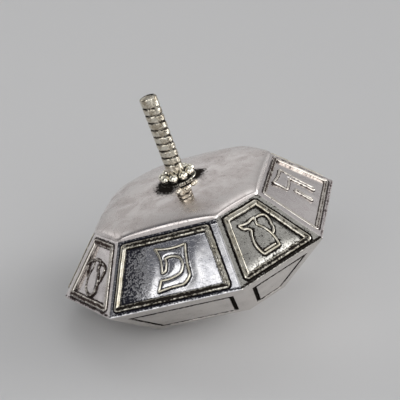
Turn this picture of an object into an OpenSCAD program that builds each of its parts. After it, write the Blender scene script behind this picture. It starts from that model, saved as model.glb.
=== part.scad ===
// Eight-sided spinning top of sheet silver. A domed lid, eight framed plaques, eight undercut
// plates and a shallow point are soldered edge to edge round a hollow. A ringed stem stands
// in a collar of grains on the lid. All lengths are in millimetres.
// Every plate is cut back toward the middle of the girdle, so neighbours meet on shared mitres.
// The top lies as it comes to rest, on one face of its point, with the stem leaning over.

/* [Body] */
// Width of the girdle, across its wide sides
girdle_w = 32; // [28:0.5:38]
// Length of a wide side of the girdle
girdle_side = 15.6; // [12:0.2:18]
// Width of the lid, across its wide sides
lid_w = 20.2; // [18.6:0.2:23]
// Length of a wide side of the lid
lid_side = 11.8; // [9:0.2:13]
// Height of the lid's edge above the girdle
lid_h = 6.2; // [4.5:0.1:8]
// Width of the foot of the lower band, across its wide sides
foot_w = 18.8; // [17.2:0.2:22]
// Length of a wide side of the foot
foot_side = 11.4; // [9:0.2:12.6]
// Depth of the foot below the girdle
foot_h = 5.9; // [4.5:0.1:8]
// Depth of the point below the foot
point_h = 3.1; // [2:0.1:6]

/* [Sheet] */
// Thickness of the lid
lid_t = 0.7; // [0.5:0.05:1]
// Thickness of the plaques at their borders
plaque_t = 1.1; // [0.9:0.05:1.4]
// Thickness of the plates of the lower band
band_t = 0.9; // [0.7:0.05:1.2]
// Thickness of the point's walls
point_t = 0.8; // [0.6:0.05:1.2]
// Rise of the lid's crown above its edge
crown_h = 1.85; // [1:0.05:2.5]

/* [Plaques] */
// Border of a plaque above its frame, measured to the middle of the frame
border_head = 0.75; // [0.7:0.05:1.3]
// Border of a plaque beside its frame, measured to the middle of the frame
border_side = 1.05; // [0.95:0.05:1.4]
// Border of a plaque below its frame, measured to the middle of the frame
border_foot = 0.9; // [0.9:0.05:1.3]
// Width of the half-round frame
frame_w = 0.7; // [0.5:0.05:0.75]
// Height of the frame above the sunk field
frame_h = 0.5; // [0.4:0.05:0.7]
// Radius of the frame's corners, at the middle of the frame
frame_r = 0.1; // [0.05:0.05:0.6]
// Depth of the sunk field below the border
field_depth = 0.25; // [0.15:0.05:0.3]
// Width of the channel between the border and the frame
moat_w = 0.15; // [0.1:0.05:0.2]

/* [Lower band] */
// Margin above the panel of a lower plate
panel_head = 1.5; // [1:0.1:2]
// Margin beside the panel
panel_side = 1.15; // [0.8:0.05:1.4]
// Margin below the panel
panel_foot = 0.9; // [0.7:0.1:1.4]
// Width of the groove round the panel
groove_w = 0.5; // [0.3:0.05:0.7]
// Depth of the groove
groove_depth = 0.35; // [0.2:0.05:0.5]

/* [Stem] */
// Diameter of the stem
stem_d = 2.1; // [1.6:0.1:2.6]
// Height of the stem above the crown of the lid
stem_h = 10.85; // [8:0.05:14]
// Length of the stem's tail below its hole in the lid
stem_tail = 0.8; // [0.4:0.1:1.5]
// Gap all round between the stem and its holes
stem_gap = 0.02; // [0.01:0.01:0.05]
// Number of rings cut round the grip
ring_count = 9; // [6:1:10]
// Distance from ring to ring
ring_pitch = 0.9; // [0.7:0.05:0.95]
// Width of a ring's cut
ring_w = 0.34; // [0.2:0.02:0.4]
// Depth of a ring's cut
ring_depth = 0.14; // [0.08:0.02:0.2]
// Plain length between the stem's end and its first ring
ring_start = 1.2; // [0.8:0.1:1.3]
// Rise of the stem's domed end
end_h = 0.3; // [0.2:0.05:0.5]

/* [Collar] */
// Number of grains round the stem
grain_count = 9; // [7:1:10]
// Diameter of a grain
grain_d = 1.12; // [0.9:0.02:1.3]
// Gap between the stem and a grain
grain_gap = 0.1; // [0.04:0.02:0.2]
// Least gap between two grains
grain_space = 0.01; // [0.01:0.01:0.05]
// How far the grains stand out over the collar plate's edge
grain_overhang = 0.08; // [0.02:0.02:0.2]
// Thickness of the collar plate
collar_t = 0.25; // [0.2:0.05:0.5]
// Least depth of the flat seat that is cut in the crown for the collar plate
seat_cut = 0.03; // [0.02:0.01:0.08]

/* [Hidden] */

// How far a cut runs past the face that it opens
overrun = 0.2;
// How far a piece of relief reaches into the plate that it is one with
root = 0.15;

// A level of the body: its width across wide sides, its wide side and its height
girdle = [girdle_w, girdle_side, 0];
lid_level = [lid_w, lid_side, lid_h];
foot_level = [foot_w, foot_side, -foot_h];

// Sides are numbered round from the front. The even ones are wide, the odd ones narrow.
side_count = 8;
side_turn = 360 / side_count;

// Borders of a plaque's frame and of a lower plate's panel: below, beside and above
plaque_borders = [border_foot, border_side, border_head];
panel_borders = [panel_foot, panel_side, panel_head];

tip_h = foot_h + point_h;
crown_z = lid_h + crown_h;
stem_top = crown_z + stem_h;

// The grains clear the stem and each other, and the collar plate ends just inside them
grain_ring_r = max(
    stem_d / 2 + grain_gap + grain_d / 2,
    (grain_d + grain_space) / (2 * sin(180 / grain_count))
);
collar_d = 2 * (grain_ring_r + grain_d / 2 - grain_overhang);

// The resting face: its tilt against the girdle, its length, and its centre from the tip
rest_run = apothem(foot_level, 0);
lean = atan2(point_h, rest_run);
rest_length = norm([rest_run, point_h]);
rest_centre_share = 2 / 3;

// Lid: points along each side, and its rings as shares from the crown to the edge
lid_steps = 6;
lid_ring_shares = [0.12, 0.3, 0.48, 0.64, 0.78, 0.88, 0.95, 0.985, 1];
// How full the dome is: lower values stand steeper at the edge
dome_fullness = 0.22;

// Steps of each frame corner and of the frame's half-round, and the least radius inside a corner
corner_steps = 4;
round_steps = 6;
least_r = 0.03;

// Seat of the collar plate, just below the lid's face at the plate's edge
seat_z = lid_h + crown_h * dome_share([0, -collar_d / 2]) - seat_cut;
collar_top = seat_z + collar_t;

stem_fn = 48;
grain_fn = 32;

// Distance of a side from the axis, and half its length
function is_wide(side) = side % 2 == 0;
function apothem(level, side) = is_wide(side) ? level[0] / 2 : (level[0] + level[1]) / (2 * sqrt(2));
function half_side(level, side) = is_wide(side) ? level[1] / 2 : (level[0] - level[1]) / (2 * sqrt(2));

// A sloping side between two levels: how far it runs in, its slope, and its length
function side_run(low, high, side) = apothem(low, side) - apothem(high, side);
function side_slope(low, high, side) = atan2(high[2] - low[2], side_run(low, high, side));
function side_length(low, high, side) = norm([side_run(low, high, side), high[2] - low[2]]);
// Lean of the side's two ends against its middle line
function end_lean(low, high, side) =
    atan2(half_side(low, side) - half_side(high, side), side_length(low, high, side));

// The middle of the girdle, seen from a sloping side's own place
function centre_from(low, high, side) =
    let (
        slope = side_slope(low, high, side),
        out = apothem(low, side)
    )
    [0, out * cos(slope) - low[2] * sin(slope), -(out * sin(slope) + low[2] * cos(slope))];

// Points moved toward a centre by a share of their distance from it
function drawn_in(points, centre, share) = [for (p = points) p + (centre - p) * share];

// Corner of a side's outline, moved in by its borders: [foot, side, head]
function inner_corner(low, high, side, borders, right, upper) =
    let (
        gamma = end_lean(low, high, side),
        y = upper ? side_length(low, high, side) - borders[2] : borders[0],
        x = half_side(low, side) - y * tan(gamma) - borders[1] / cos(gamma)
    )
    [right ? x : -x, y];

// Outline of a side moved in by its borders, with its corners rounded to a radius
function rounded_outline(low, high, side, borders, radius) =
    let (
        gamma = end_lean(low, high, side),
        inner = [for (b = borders) b + radius],
        angles = [[-90, gamma], [gamma, 90], [90, 180 - gamma], [180 - gamma, 270]],
        places = [[true, false], [true, true], [false, true], [false, false]]
    )
    [for (k = [0:3])
        let (c = inner_corner(low, high, side, inner, places[k][0], places[k][1]))
        for (i = [0:corner_steps])
            let (a = angles[k][0] + (angles[k][1] - angles[k][0]) * i / corner_steps)
            c + radius * [cos(a), sin(a)]];

// Outline of a side moved in by its borders, with sharp corners
function sharp_outline(low, high, side, borders) = [
    inner_corner(low, high, side, borders, false, false),
    inner_corner(low, high, side, borders, true, false),
    inner_corner(low, high, side, borders, true, true),
    inner_corner(low, high, side, borders, false, true),
];

// Corners of a level, in order round the axis from the front side's left end
function level_corners(level) = [
    for (side = [0:side_count - 1])
        let (
            turn = side * side_turn,
            x = -half_side(level, side),
            y = -apothem(level, side)
        )
        [x * cos(turn) - y * sin(turn), x * sin(turn) + y * cos(turn)]
];

// Edge of a level with each side cut in equal steps
function level_edge(level, steps) =
    let (corners = level_corners(level))
    [for (k = [0:side_count - 1])
        for (i = [0:steps - 1])
            corners[k] + (corners[(k + 1) % side_count] - corners[k]) * i / steps];

// Height share of the dome over a point: 1 at the crown and 0 on every edge of the lid
function edge_room(p, side) =
    let (turn = side * side_turn)
    max(0, 1 - (p[0] * sin(turn) - p[1] * cos(turn)) / apothem(lid_level, side));
function room_product(p, side) =
    side == side_count ? 1 : edge_room(p, side) * room_product(p, side + 1);
function dome_share(p) = pow(room_product(p, 0), dome_fullness);

// A skin over loops of points that run one above the other, closed by a cap at each end
// or joined from the last loop back to the first
module skin(loops, ring = false) {
    count = len(loops[0]);
    last = len(loops) - 1;
    walls = [
        for (j = [0:ring ? last : last - 1])
            for (i = [0:count - 1])
                let (
                    a = j * count + i,
                    b = j * count + (i + 1) % count,
                    c = ((j + 1) % (last + 1)) * count + (i + 1) % count,
                    d = ((j + 1) % (last + 1)) * count + i
                )
                each [[d, c, a], [c, b, a]]
    ];
    caps = ring ? [] : [
        [for (i = [0:count - 1]) i],
        [for (i = [count - 1:-1:0]) last * count + i],
    ];
    polyhedron(points = [for (loop = loops) each loop], faces = concat(walls, caps));
}

// Places a drawing on a sloping side: X along the side, Y up its slope, Z out of the body
module on_side(low, high, side) {
    rotate([0, 0, side * side_turn])
        translate([0, -apothem(low, side), low[2]])
            rotate([side_slope(low, high, side), 0, 0])
                children();
}

// Bare plate of a sloping side, mitred toward the middle of the girdle
module side_plate(low, high, side, thickness) {
    centre = centre_from(low, high, side);
    outline = [for (p = sharp_outline(low, high, side, [0, 0, 0])) [p[0], p[1], 0]];
    skin([drawn_in(outline, centre, thickness / -centre[2]), outline]);
}

// Outline of a plaque's frame, grown out from the middle of the frame
function frame_outline(side, grow) =
    rounded_outline(girdle, lid_level, side, [for (b = plaque_borders) b - grow],
        max(least_r, frame_r + grow));

// Half-round frame that stands on the sunk field of a plaque
module frame_ring(side) {
    spring_z = frame_h - field_depth - frame_w / 2;
    low_z = -field_depth - root;
    section = concat(
        [[-frame_w / 2, low_z], [frame_w / 2, low_z]],
        [for (i = [0:round_steps])
            let (a = 180 * i / round_steps)
            [frame_w / 2 * cos(a), spring_z + frame_w / 2 * sin(a)]]
    );
    skin([for (s = section)
        [for (p = frame_outline(side, s[0])) [p[0], p[1], s[1]]]], ring = true);
}

// Framed plaque of the upper body
module plaque(side) {
    color([0.72, 0.71, 0.69])
        on_side(girdle, lid_level, side) {
            difference() {
                side_plate(girdle, lid_level, side, plaque_t);
                translate([0, 0, -field_depth])
                    linear_extrude(height = field_depth + overrun)
                        polygon(frame_outline(side, frame_w / 2 + moat_w));
            }
            frame_ring(side);
        }
}

// Plate of the lower band, with its grooved panel
module lower_plate(side) {
    panel_outline = sharp_outline(foot_level, girdle, side, [for (b = panel_borders) b + groove_w]);
    color([0.66, 0.65, 0.64])
        on_side(foot_level, girdle, side)
            difference() {
                side_plate(foot_level, girdle, side, band_t);
                translate([0, 0, -groove_depth])
                    linear_extrude(height = groove_depth + overrun)
                        difference() {
                            polygon(sharp_outline(foot_level, girdle, side, panel_borders));
                            polygon(panel_outline);
                        }
            }
}

// Domed lid, bored for the stem, with a flat seat for the collar plate
module lid() {
    edge = level_edge(lid_level, lid_steps);
    under_share = (lid_h - lid_t) / lid_h;
    outer = [for (share = lid_ring_shares)
        [for (p = edge) [p[0] * share, p[1] * share, lid_h + crown_h * dome_share(p * share)]]];
    under = [for (loop = outer)
        [for (p = loop) [p[0] * under_share, p[1] * under_share, p[2] - lid_t]]];
    color([0.74, 0.71, 0.71])
        difference() {
            skin(concat(under, [for (j = [len(outer) - 1:-1:0]) outer[j]]));
            cylinder(h = stem_top, d = stem_d + 2 * stem_gap, $fn = stem_fn);
            translate([0, 0, seat_z])
                cylinder(h = crown_h, d = collar_d, $fn = stem_fn);
        }
}

// Point that closes the bottom: an eight-sided pyramid, hollow like the rest of the body
module point() {
    rim = [for (p = level_corners(foot_level)) [p[0], p[1], -foot_h]];
    tip = [0, 0, -tip_h];
    face_depth = foot_h * cos(lean) + rest_run * sin(lean);
    share = point_t / face_depth;
    inner_rim = drawn_in(rim, [0, 0, 0], share);
    inner_tip = drawn_in([tip], [0, 0, 0], share)[0];
    next = function (i) (i + 1) % side_count;
    faces = [
        for (i = [0:side_count - 1])
            each [
                [2 * side_count, i, next(i)],
                [i, side_count + i, side_count + next(i)],
                [i, side_count + next(i), next(i)],
                [2 * side_count + 1, side_count + next(i), side_count + i],
            ]
    ];
    color([0.64, 0.63, 0.62])
        polyhedron(points = concat(rim, inner_rim, [tip, inner_tip]), faces = faces);
}

// Stem with its rings, its domed end, and its tail below the lid
module stem() {
    r = stem_d / 2;
    low_z = lid_h + crown_h - lid_t - stem_tail;
    first_z = stem_top - ring_start;
    rings = [
        for (i = [0:ring_count - 1])
            let (z = first_z - i * ring_pitch)
            each [[r, z], [r - ring_depth, z - ring_w / 2], [r, z - ring_w]]
    ];
    dome_r = (r * r + end_h * end_h) / (2 * end_h);
    dome_half = asin(r / dome_r);
    dome = [
        for (i = [0:round_steps])
            let (a = dome_half * i / round_steps)
            [dome_r * sin(a), stem_top - dome_r + dome_r * cos(a)]
    ];
    color([0.78, 0.76, 0.7])
        rotate_extrude($fn = stem_fn)
            polygon(concat([[0, low_z]], dome, rings, [[r, low_z]]));
}

// Thin round plate under the grains
module collar_plate() {
    color([0.7, 0.68, 0.6])
        translate([0, 0, seat_z])
            difference() {
                cylinder(h = collar_t, d = collar_d, $fn = stem_fn);
                translate([0, 0, -overrun])
                    cylinder(h = collar_t + 2 * overrun, d = stem_d + 2 * stem_gap, $fn = stem_fn);
            }
}

// Ring of grains round the foot of the stem
module collar_grains() {
    color([0.8, 0.78, 0.72])
        for (i = [0:grain_count - 1])
            rotate([0, 0, 360 * i / grain_count])
                translate([0, -grain_ring_r, collar_top + grain_d / 2])
                    sphere(d = grain_d, $fn = grain_fn);
}

// Lays the upright top on the resting face of its point, with that face's centre at the origin
module at_rest() {
    translate([rest_length * rest_centre_share, 0, 0])
        rotate([0, -lean, 0])
            translate([0, 0, tip_h])
                children();
}

at_rest() lid();
at_rest() plaque(0);  // pe_plaque
at_rest() plaque(1);  // jug_plaque_1
at_rest() plaque(2);  // hei_plaque
at_rest() plaque(3);  // jar_plaque_1
at_rest() plaque(4);  // gimel_plaque
at_rest() plaque(5);  // jug_plaque_2
at_rest() plaque(6);  // nun_plaque
at_rest() plaque(7);  // jar_plaque_2
for (side = [0:side_count - 1])
    at_rest() lower_plate(side);
at_rest() point();
at_rest() stem();
at_rest() collar_plate();
at_rest() collar_grains();
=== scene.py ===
"""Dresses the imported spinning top: an eight-sided hollow body of sheet silver with a domed lid, eight
framed plaques, an undercut lower band, a shallow point, and a grooved stem in a collar of grains.

Sizes are millimetres on the upright top, with the girdle at height nought. RestingPose lays each
finished mesh on the resting face of the point, in metres, where the frame has it.
"""

import logging
import math
from dataclasses import dataclass, field
from enum import Enum
from typing import Any, Callable, Sequence

import bpy
import numpy as np
from mathutils import Matrix, Vector

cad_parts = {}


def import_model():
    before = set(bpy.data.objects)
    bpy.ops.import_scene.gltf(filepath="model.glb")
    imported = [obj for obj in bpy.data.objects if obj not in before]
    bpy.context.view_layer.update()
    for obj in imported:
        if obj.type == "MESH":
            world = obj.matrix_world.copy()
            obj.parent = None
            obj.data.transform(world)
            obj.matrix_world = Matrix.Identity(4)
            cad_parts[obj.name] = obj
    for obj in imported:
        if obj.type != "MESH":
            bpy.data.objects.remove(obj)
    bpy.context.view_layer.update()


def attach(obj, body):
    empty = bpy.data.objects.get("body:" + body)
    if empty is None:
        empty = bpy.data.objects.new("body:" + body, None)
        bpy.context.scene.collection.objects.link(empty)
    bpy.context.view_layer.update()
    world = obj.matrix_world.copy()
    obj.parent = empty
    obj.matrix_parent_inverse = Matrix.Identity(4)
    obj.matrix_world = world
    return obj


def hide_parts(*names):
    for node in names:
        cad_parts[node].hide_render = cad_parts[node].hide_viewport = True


LOG = logging.getLogger("spinning_top")
MILLIMETRE = 0.001
SIDE_COUNT = 8
SIDE_TURN = 2 * math.pi / SIDE_COUNT
CENTRE = Vector((0.0, 0.0, 0.0))

Array = np.ndarray


# Shape of the body

@dataclass(frozen=True)
class Level:
    """One height of the body: an octagon of four wide and four narrow sides."""

    width: float
    wide_side: float
    height: float

    def apothem(self, number: int) -> float:
        """Distance of a side from the axis.

        Args:
            number: Number of the side: even ones are wide, odd ones narrow.

        Returns:
            The distance.
        """
        if number % 2 == 0:
            return self.width / 2
        return (self.width + self.wide_side) / (2 * math.sqrt(2))

    def half_side(self, number: int) -> float:
        """Half the length of a side.

        Args:
            number: Number of the side.

        Returns:
            Half its length.
        """
        if number % 2 == 0:
            return self.wide_side / 2
        return (self.width - self.wide_side) / (2 * math.sqrt(2))

    def corner_angle(self) -> float:
        """Angle from the middle of a wide side to its end, seen from the axis."""
        return math.atan2(self.wide_side, self.width)

    def reach(self, angles: Array) -> Array:
        """Distance of the octagon's edge from the axis.

        Args:
            angles: Angles counted from the front side's middle.

        Returns:
            The distance at each angle.
        """
        normals = np.arange(SIDE_COUNT) * SIDE_TURN
        apothems = np.array([self.apothem(k) for k in range(SIDE_COUNT)])
        toward = np.cos(angles[:, None] - normals[None, :])
        least = 1e-6
        ratios = np.where(toward > least, apothems / np.maximum(toward, least), np.inf)
        return ratios.min(axis=1)


GIRDLE = Level(32.0, 15.6, 0.0)
LID_LEVEL = Level(20.2, 11.8, 6.2)
FOOT_LEVEL = Level(18.8, 11.4, -5.9)
POINT_DEPTH = 3.1
TIP_DEPTH = POINT_DEPTH - FOOT_LEVEL.height


@dataclass(frozen=True)
class RestingPose:
    """Lays the upright top on one wide face of its point, with that face's centre at the origin."""

    centre_share: float = 2 / 3

    @property
    def matrix(self) -> Matrix:
        """Matrix from upright millimetres to metres in the frame.

        Returns:
            The matrix.
        """
        run = FOOT_LEVEL.apothem(0)
        lean = math.atan2(POINT_DEPTH, run)
        shift = math.hypot(run, POINT_DEPTH) * self.centre_share
        turned = Matrix.Rotation(-lean, 4, "Y") @ Matrix.Translation((0.0, 0.0, TIP_DEPTH))
        return Matrix.Scale(MILLIMETRE, 4) @ Matrix.Translation((shift, 0.0, 0.0)) @ turned


@dataclass(frozen=True)
class SlopingSide:
    """Place of a sloping plate: X runs along the side, Y up its slope and Z out of the body."""

    low: Level
    high: Level
    number: int

    @property
    def run(self) -> float:
        """How far the side leans in from its low level to its high one."""
        return self.low.apothem(self.number) - self.high.apothem(self.number)

    @property
    def slope(self) -> float:
        """Angle of the side against the level."""
        return math.atan2(self.high.height - self.low.height, self.run)

    @property
    def length(self) -> float:
        """Length of the side up its slope."""
        return math.hypot(self.run, self.high.height - self.low.height)

    @property
    def end_lean(self) -> float:
        """Lean of the two ends against the side's middle line."""
        fall = self.low.half_side(self.number) - self.high.half_side(self.number)
        return math.atan2(fall, self.length)

    @property
    def matrix(self) -> Matrix:
        """Matrix from the side's own place to the upright body.

        Returns:
            The matrix.
        """
        turn = Matrix.Rotation(self.number * SIDE_TURN, 4, "Z")
        out = Matrix.Translation((0.0, -self.low.apothem(self.number), self.low.height))
        return turn @ out @ Matrix.Rotation(self.slope, 4, "X")

    @property
    def normal(self) -> Vector:
        """Outward direction of the side on the upright body."""
        return self.matrix.to_3x3() @ Vector((0.0, 0.0, 1.0))

    @property
    def middle_of_body(self) -> Vector:
        """Middle of the girdle, in the side's own place."""
        return self.matrix.inverted() @ CENTRE

    def half_width(self, height: Array | float) -> Array | float:
        """Half the side's width at a height up its slope."""
        return self.low.half_side(self.number) - height * math.tan(self.end_lean)


def smooth_step(value: Array, low: float, high: float) -> Array:
    """Rises smoothly from 0 at low to 1 at high.

    Args:
        value: Numbers to map.
        low: Value that gives 0.
        high: Value that gives 1.

    Returns:
        The mapped numbers.
    """
    share = np.clip((value - low) / (high - low), 0.0, 1.0)
    return share * share * (3 - 2 * share)


# Meshes

@dataclass
class Solid:
    """A closed mesh in millimetres, with how dark each point is by tarnish and painted shade: 0 rubbed
    bright, 1 black.
    """

    points: Array
    faces: list[tuple[int, ...]]
    tarnish_and_shade: Array

    def placed(self, matrix: Matrix) -> "Solid":
        """The solid moved by a matrix."""
        turned = self.points @ np.array(matrix.to_3x3()).T + np.array(matrix.translation)
        return Solid(turned, self.faces, self.tarnish_and_shade)

    @staticmethod
    def from_mesh(mesh: bpy.types.Mesh, tarnish_and_shade: Array) -> "Solid":
        """Makes a solid of a mesh that nodes made.

        Args:
            mesh: The mesh. It is removed.
            tarnish_and_shade: Tarnish and painted shade of each point.

        Returns:
            The solid.
        """
        points = read_points(mesh)
        faces = [tuple(polygon.vertices) for polygon in mesh.polygons]
        bpy.data.meshes.remove(mesh)
        return Solid(points, faces, tarnish_and_shade)


def read_points(mesh: bpy.types.Mesh) -> Array:
    """Reads the places of a mesh's points.

    Args:
        mesh: The mesh.

    Returns:
        A row for each point.
    """
    values = np.zeros(len(mesh.vertices) * 3)
    mesh.vertices.foreach_get("co", values)
    return values.reshape(-1, 3)


def read_layer(mesh: bpy.types.Mesh, name: str) -> Array:
    """Reads a number that is stored on a mesh's points.

    Args:
        mesh: The mesh.
        name: Name of the number.

    Returns:
        Its value at each point.
    """
    values = np.zeros(len(mesh.vertices), np.float32)
    mesh.attributes[name].data.foreach_get("value", values)
    return values.astype(float)


def write_layer(mesh: bpy.types.Mesh, name: str, values: Array) -> None:
    """Stores a number or a place on each point of a mesh.

    Args:
        mesh: The mesh.
        name: Name of the layer.
        values: A number or a row of three for each point.
    """
    kind, label = ("FLOAT", "value") if values.ndim == 1 else ("FLOAT_VECTOR", "vector")
    layer = mesh.attributes.new(name, kind, "POINT")
    layer.data.foreach_set(label, values.astype(np.float32).ravel())


def new_mesh(name: str, points: Array, edges: Sequence[tuple[int, int]],
             faces: Sequence[tuple[int, ...]]) -> bpy.types.Mesh:
    """Makes a mesh of points, edges and faces.

    Args:
        name: Its name.
        points: A row for each point.
        edges: Pairs of points.
        faces: Loops of points.

    Returns:
        The mesh.
    """
    mesh = bpy.data.meshes.new(name)
    mesh.from_pydata(points.tolist(), edges, faces)
    return mesh


def put_in_scene(name: str, data: bpy.types.ID) -> bpy.types.Object:
    """Makes an object and links it to the scene.

    Args:
        name: Its name.
        data: The mesh, lamp or camera that it holds.

    Returns:
        The object.
    """
    made = bpy.data.objects.new(name, data)
    bpy.context.scene.collection.objects.link(made)
    return made


def skin(loops: Sequence[Array], tarnish_and_shade: Sequence[Array | float], ring: bool = False) -> Solid:
    """Skins loops of points that run one above the other, counter-clockwise seen from above.

    Args:
        loops: Loops with the same number of points, the lowest first.
        tarnish_and_shade: Tarnish and painted shade of each loop, one value or one a point.
        ring: Whether the last loop joins the first, instead of a cap at each end.

    Returns:
        The closed solid.
    """
    count = len(loops[0])
    last = len(loops)
    faces: list[tuple[int, ...]] = []
    for j in range(last if ring else last - 1):
        upper = (j + 1) % last
        for i in range(count):
            after = (i + 1) % count
            faces.append((j * count + i, j * count + after, upper * count + after, upper * count + i))
    points = [np.asarray(loop, float) for loop in loops]
    values = [np.full(count, value) if np.isscalar(value) else np.asarray(value) for value in tarnish_and_shade]
    if not ring:
        for j, turned in ((0, True), (last - 1, False)):
            hub = last * count + (0 if turned else 1)
            for i in range(count):
                pair = (j * count + i, j * count + (i + 1) % count)
                faces.append((hub, *reversed(pair)) if turned else (hub, *pair))
        points += [points[0].mean(axis=0)[None, :], points[last - 1].mean(axis=0)[None, :]]
        values += [values[0].mean()[None], values[last - 1].mean()[None]]
    return Solid(np.vstack(points), faces, np.concatenate(values))


def make_mesh(name: str, solid: Solid, crease: float) -> bpy.types.Mesh:
    """Makes a smooth-shaded mesh in the frame from a solid on the upright body.

    Args:
        name: Name of the mesh.
        solid: The solid, in millimetres.
        crease: Angle in degrees from which an edge stays sharp.

    Returns:
        The mesh, in metres, in the resting pose.
    """
    laid = solid.placed(RestingPose().matrix)
    mesh = new_mesh(name, laid.points, [], laid.faces)
    # The tarnish_and_shade layer holds tarnish together with painted shade; the material turns it black.
    write_layer(mesh, "tarnish_and_shade", solid.tarnish_and_shade)
    mesh.validate()
    mesh.shade_smooth()
    mesh.set_sharp_from_angle(angle=math.radians(crease))
    mesh.update()
    return mesh


class Slot(Enum):
    """Material slots of the record."""

    LID = "satin_silver"
    PLAQUE = "plaque_silver"
    LOWER = "lower_silver"
    STEM = "stem_silver"
    GRAIN = "grain_silver"


def add_piece(mesh: bpy.types.Mesh, material: bpy.types.Material, slot: Slot,
              node: str | None = None) -> None:
    """Adds a finished mesh to the scene as a piece that rides on the body.

    Args:
        mesh: The mesh, in metres, in its place.
        material: Its finish.
        slot: The record's slot that the finish belongs to. It is not used.
        node: The CAD node that the piece stands for, if it stands for one.
    """
    mesh.materials.clear()
    mesh.materials.append(material)
    piece = put_in_scene(mesh.name, mesh)
    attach(piece, "root")
    if node:
        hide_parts(node)
    LOG.info("%s: %d points, %s", piece.name, len(mesh.vertices), node or "added")


# Node trees

class Wiring:
    """A node tree that is written a node at a time."""

    def __init__(self, tree: bpy.types.NodeTree) -> None:
        """Takes on a tree."""
        self.tree = tree

    def node(self, kind: str, inputs: dict[Any, Any] | None = None, **settings: Any) -> bpy.types.Node:
        """Adds a node.

        Args:
            kind: Blender's name for the node.
            inputs: A socket or a plain value for each input, by its name or number.
            settings: Properties of the node.

        Returns:
            The node.
        """
        made = self.tree.nodes.new(kind)
        for label, setting in settings.items():
            setattr(made, label, setting)
        for label, given in (inputs or {}).items():
            socket = made.inputs[label]
            if isinstance(given, bpy.types.NodeSocket):
                self.tree.links.new(given, socket)
            elif socket.type == "RGBA":
                socket.default_value = (*given, 1.0)
            else:
                socket.default_value = given
        return made

    def math(self, operation: str, *values: Any, clamp: bool = False) -> bpy.types.NodeSocket:
        """Result of a math node on sockets or numbers."""
        inputs = dict(enumerate(values))
        return self.node("ShaderNodeMath", inputs, operation=operation, use_clamp=clamp).outputs[0]


class Recipe(Wiring):
    """A Geometry Nodes tree with named inputs."""

    def __init__(self, name: str, inputs: dict[str, str]) -> None:
        """Starts the tree.

        Args:
            name: Name of the tree.
            inputs: Kind of socket for each named input after the geometry.
        """
        super().__init__(bpy.data.node_groups.new(name, "GeometryNodeTree"))
        sockets = self.tree.interface
        sockets.new_socket("Geometry", in_out="INPUT", socket_type="NodeSocketGeometry")
        sockets.new_socket("Geometry", in_out="OUTPUT", socket_type="NodeSocketGeometry")
        for label, kind in inputs.items():
            sockets.new_socket(label, in_out="INPUT", socket_type=kind)
        self.start = self.node("NodeGroupInput")

    def value(self, label: str) -> bpy.types.NodeSocket:
        """Socket of a named input."""
        return self.start.outputs[label]

    def finish(self, geometry: bpy.types.NodeSocket) -> bpy.types.NodeTree:
        """Ends the tree in real geometry with its material.

        Args:
            geometry: The geometry to give out.

        Returns:
            The finished tree.
        """
        real = self.node("GeometryNodeRealizeInstances", {"Geometry": geometry}).outputs[0]
        dressed = self.node("GeometryNodeSetMaterial", {"Geometry": real, "Material": self.value("Material")})
        self.node("NodeGroupOutput", {0: dressed.outputs[0]})
        return self.tree


def run_recipe(tree: bpy.types.NodeTree, source: bpy.types.Mesh, values: dict[str, Any]) -> bpy.types.Mesh:
    """Runs a node tree on a mesh.

    Args:
        tree: The tree.
        source: The mesh that goes in. It is removed.
        values: Value of each named input.

    Returns:
        The plain mesh that comes out.
    """
    carrier = put_in_scene("carrier", source)
    modifier = carrier.modifiers.new("recipe", "NODES")
    modifier.node_group = tree
    for item in tree.interface.items_tree:
        if item.in_out == "INPUT" and item.name in values:
            modifier[item.identifier] = values[item.name]
    graph = bpy.context.evaluated_depsgraph_get()
    result = bpy.data.meshes.new_from_object(
        carrier.evaluated_get(graph), preserve_all_data_layers=True, depsgraph=graph
    )
    carrier.modifiers.remove(modifier)
    bpy.data.objects.remove(carrier)
    bpy.data.meshes.remove(source)
    return result


# Finishes

@dataclass(frozen=True)
class Finish:
    """One state of the silver: its tint, the black of its tarnish and painted shade, and how finely it was
    rubbed. Sizes in millimetres.
    """

    name: str
    silver: tuple[float, float, float]
    dull: tuple[float, float, float]
    tarnish_and_shade: tuple[float, float, float] = (0.018, 0.015, 0.013)
    roughness: float = 0.2
    roughness_spread: float = 0.1
    cloud_size: float = 3.0
    cloud_amount: float = 0.5
    speckle_size: float = 0.35
    speckle_amount: float = 0.2
    scratch_amount: float = 0.5
    scratch_size: float = 0.12
    grain_size: float = 0.06
    grain_depth: float = 0.0003
    dent_size: float = 1.6
    dent_depth: float = 0.002
    bump_depth: float = 0.004
    patchiness: float = 1.7

    def material(self) -> bpy.types.Material:
        """Builds the node material.

        Returns:
            The material.
        """
        made = bpy.data.materials.new(self.name)
        made.use_nodes = True
        made.node_tree.nodes.clear()
        SilverTree(made.node_tree).write(self)
        made.diffuse_color = (*self.silver, 1.0)
        made.metallic = 1.0
        return made


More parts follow.
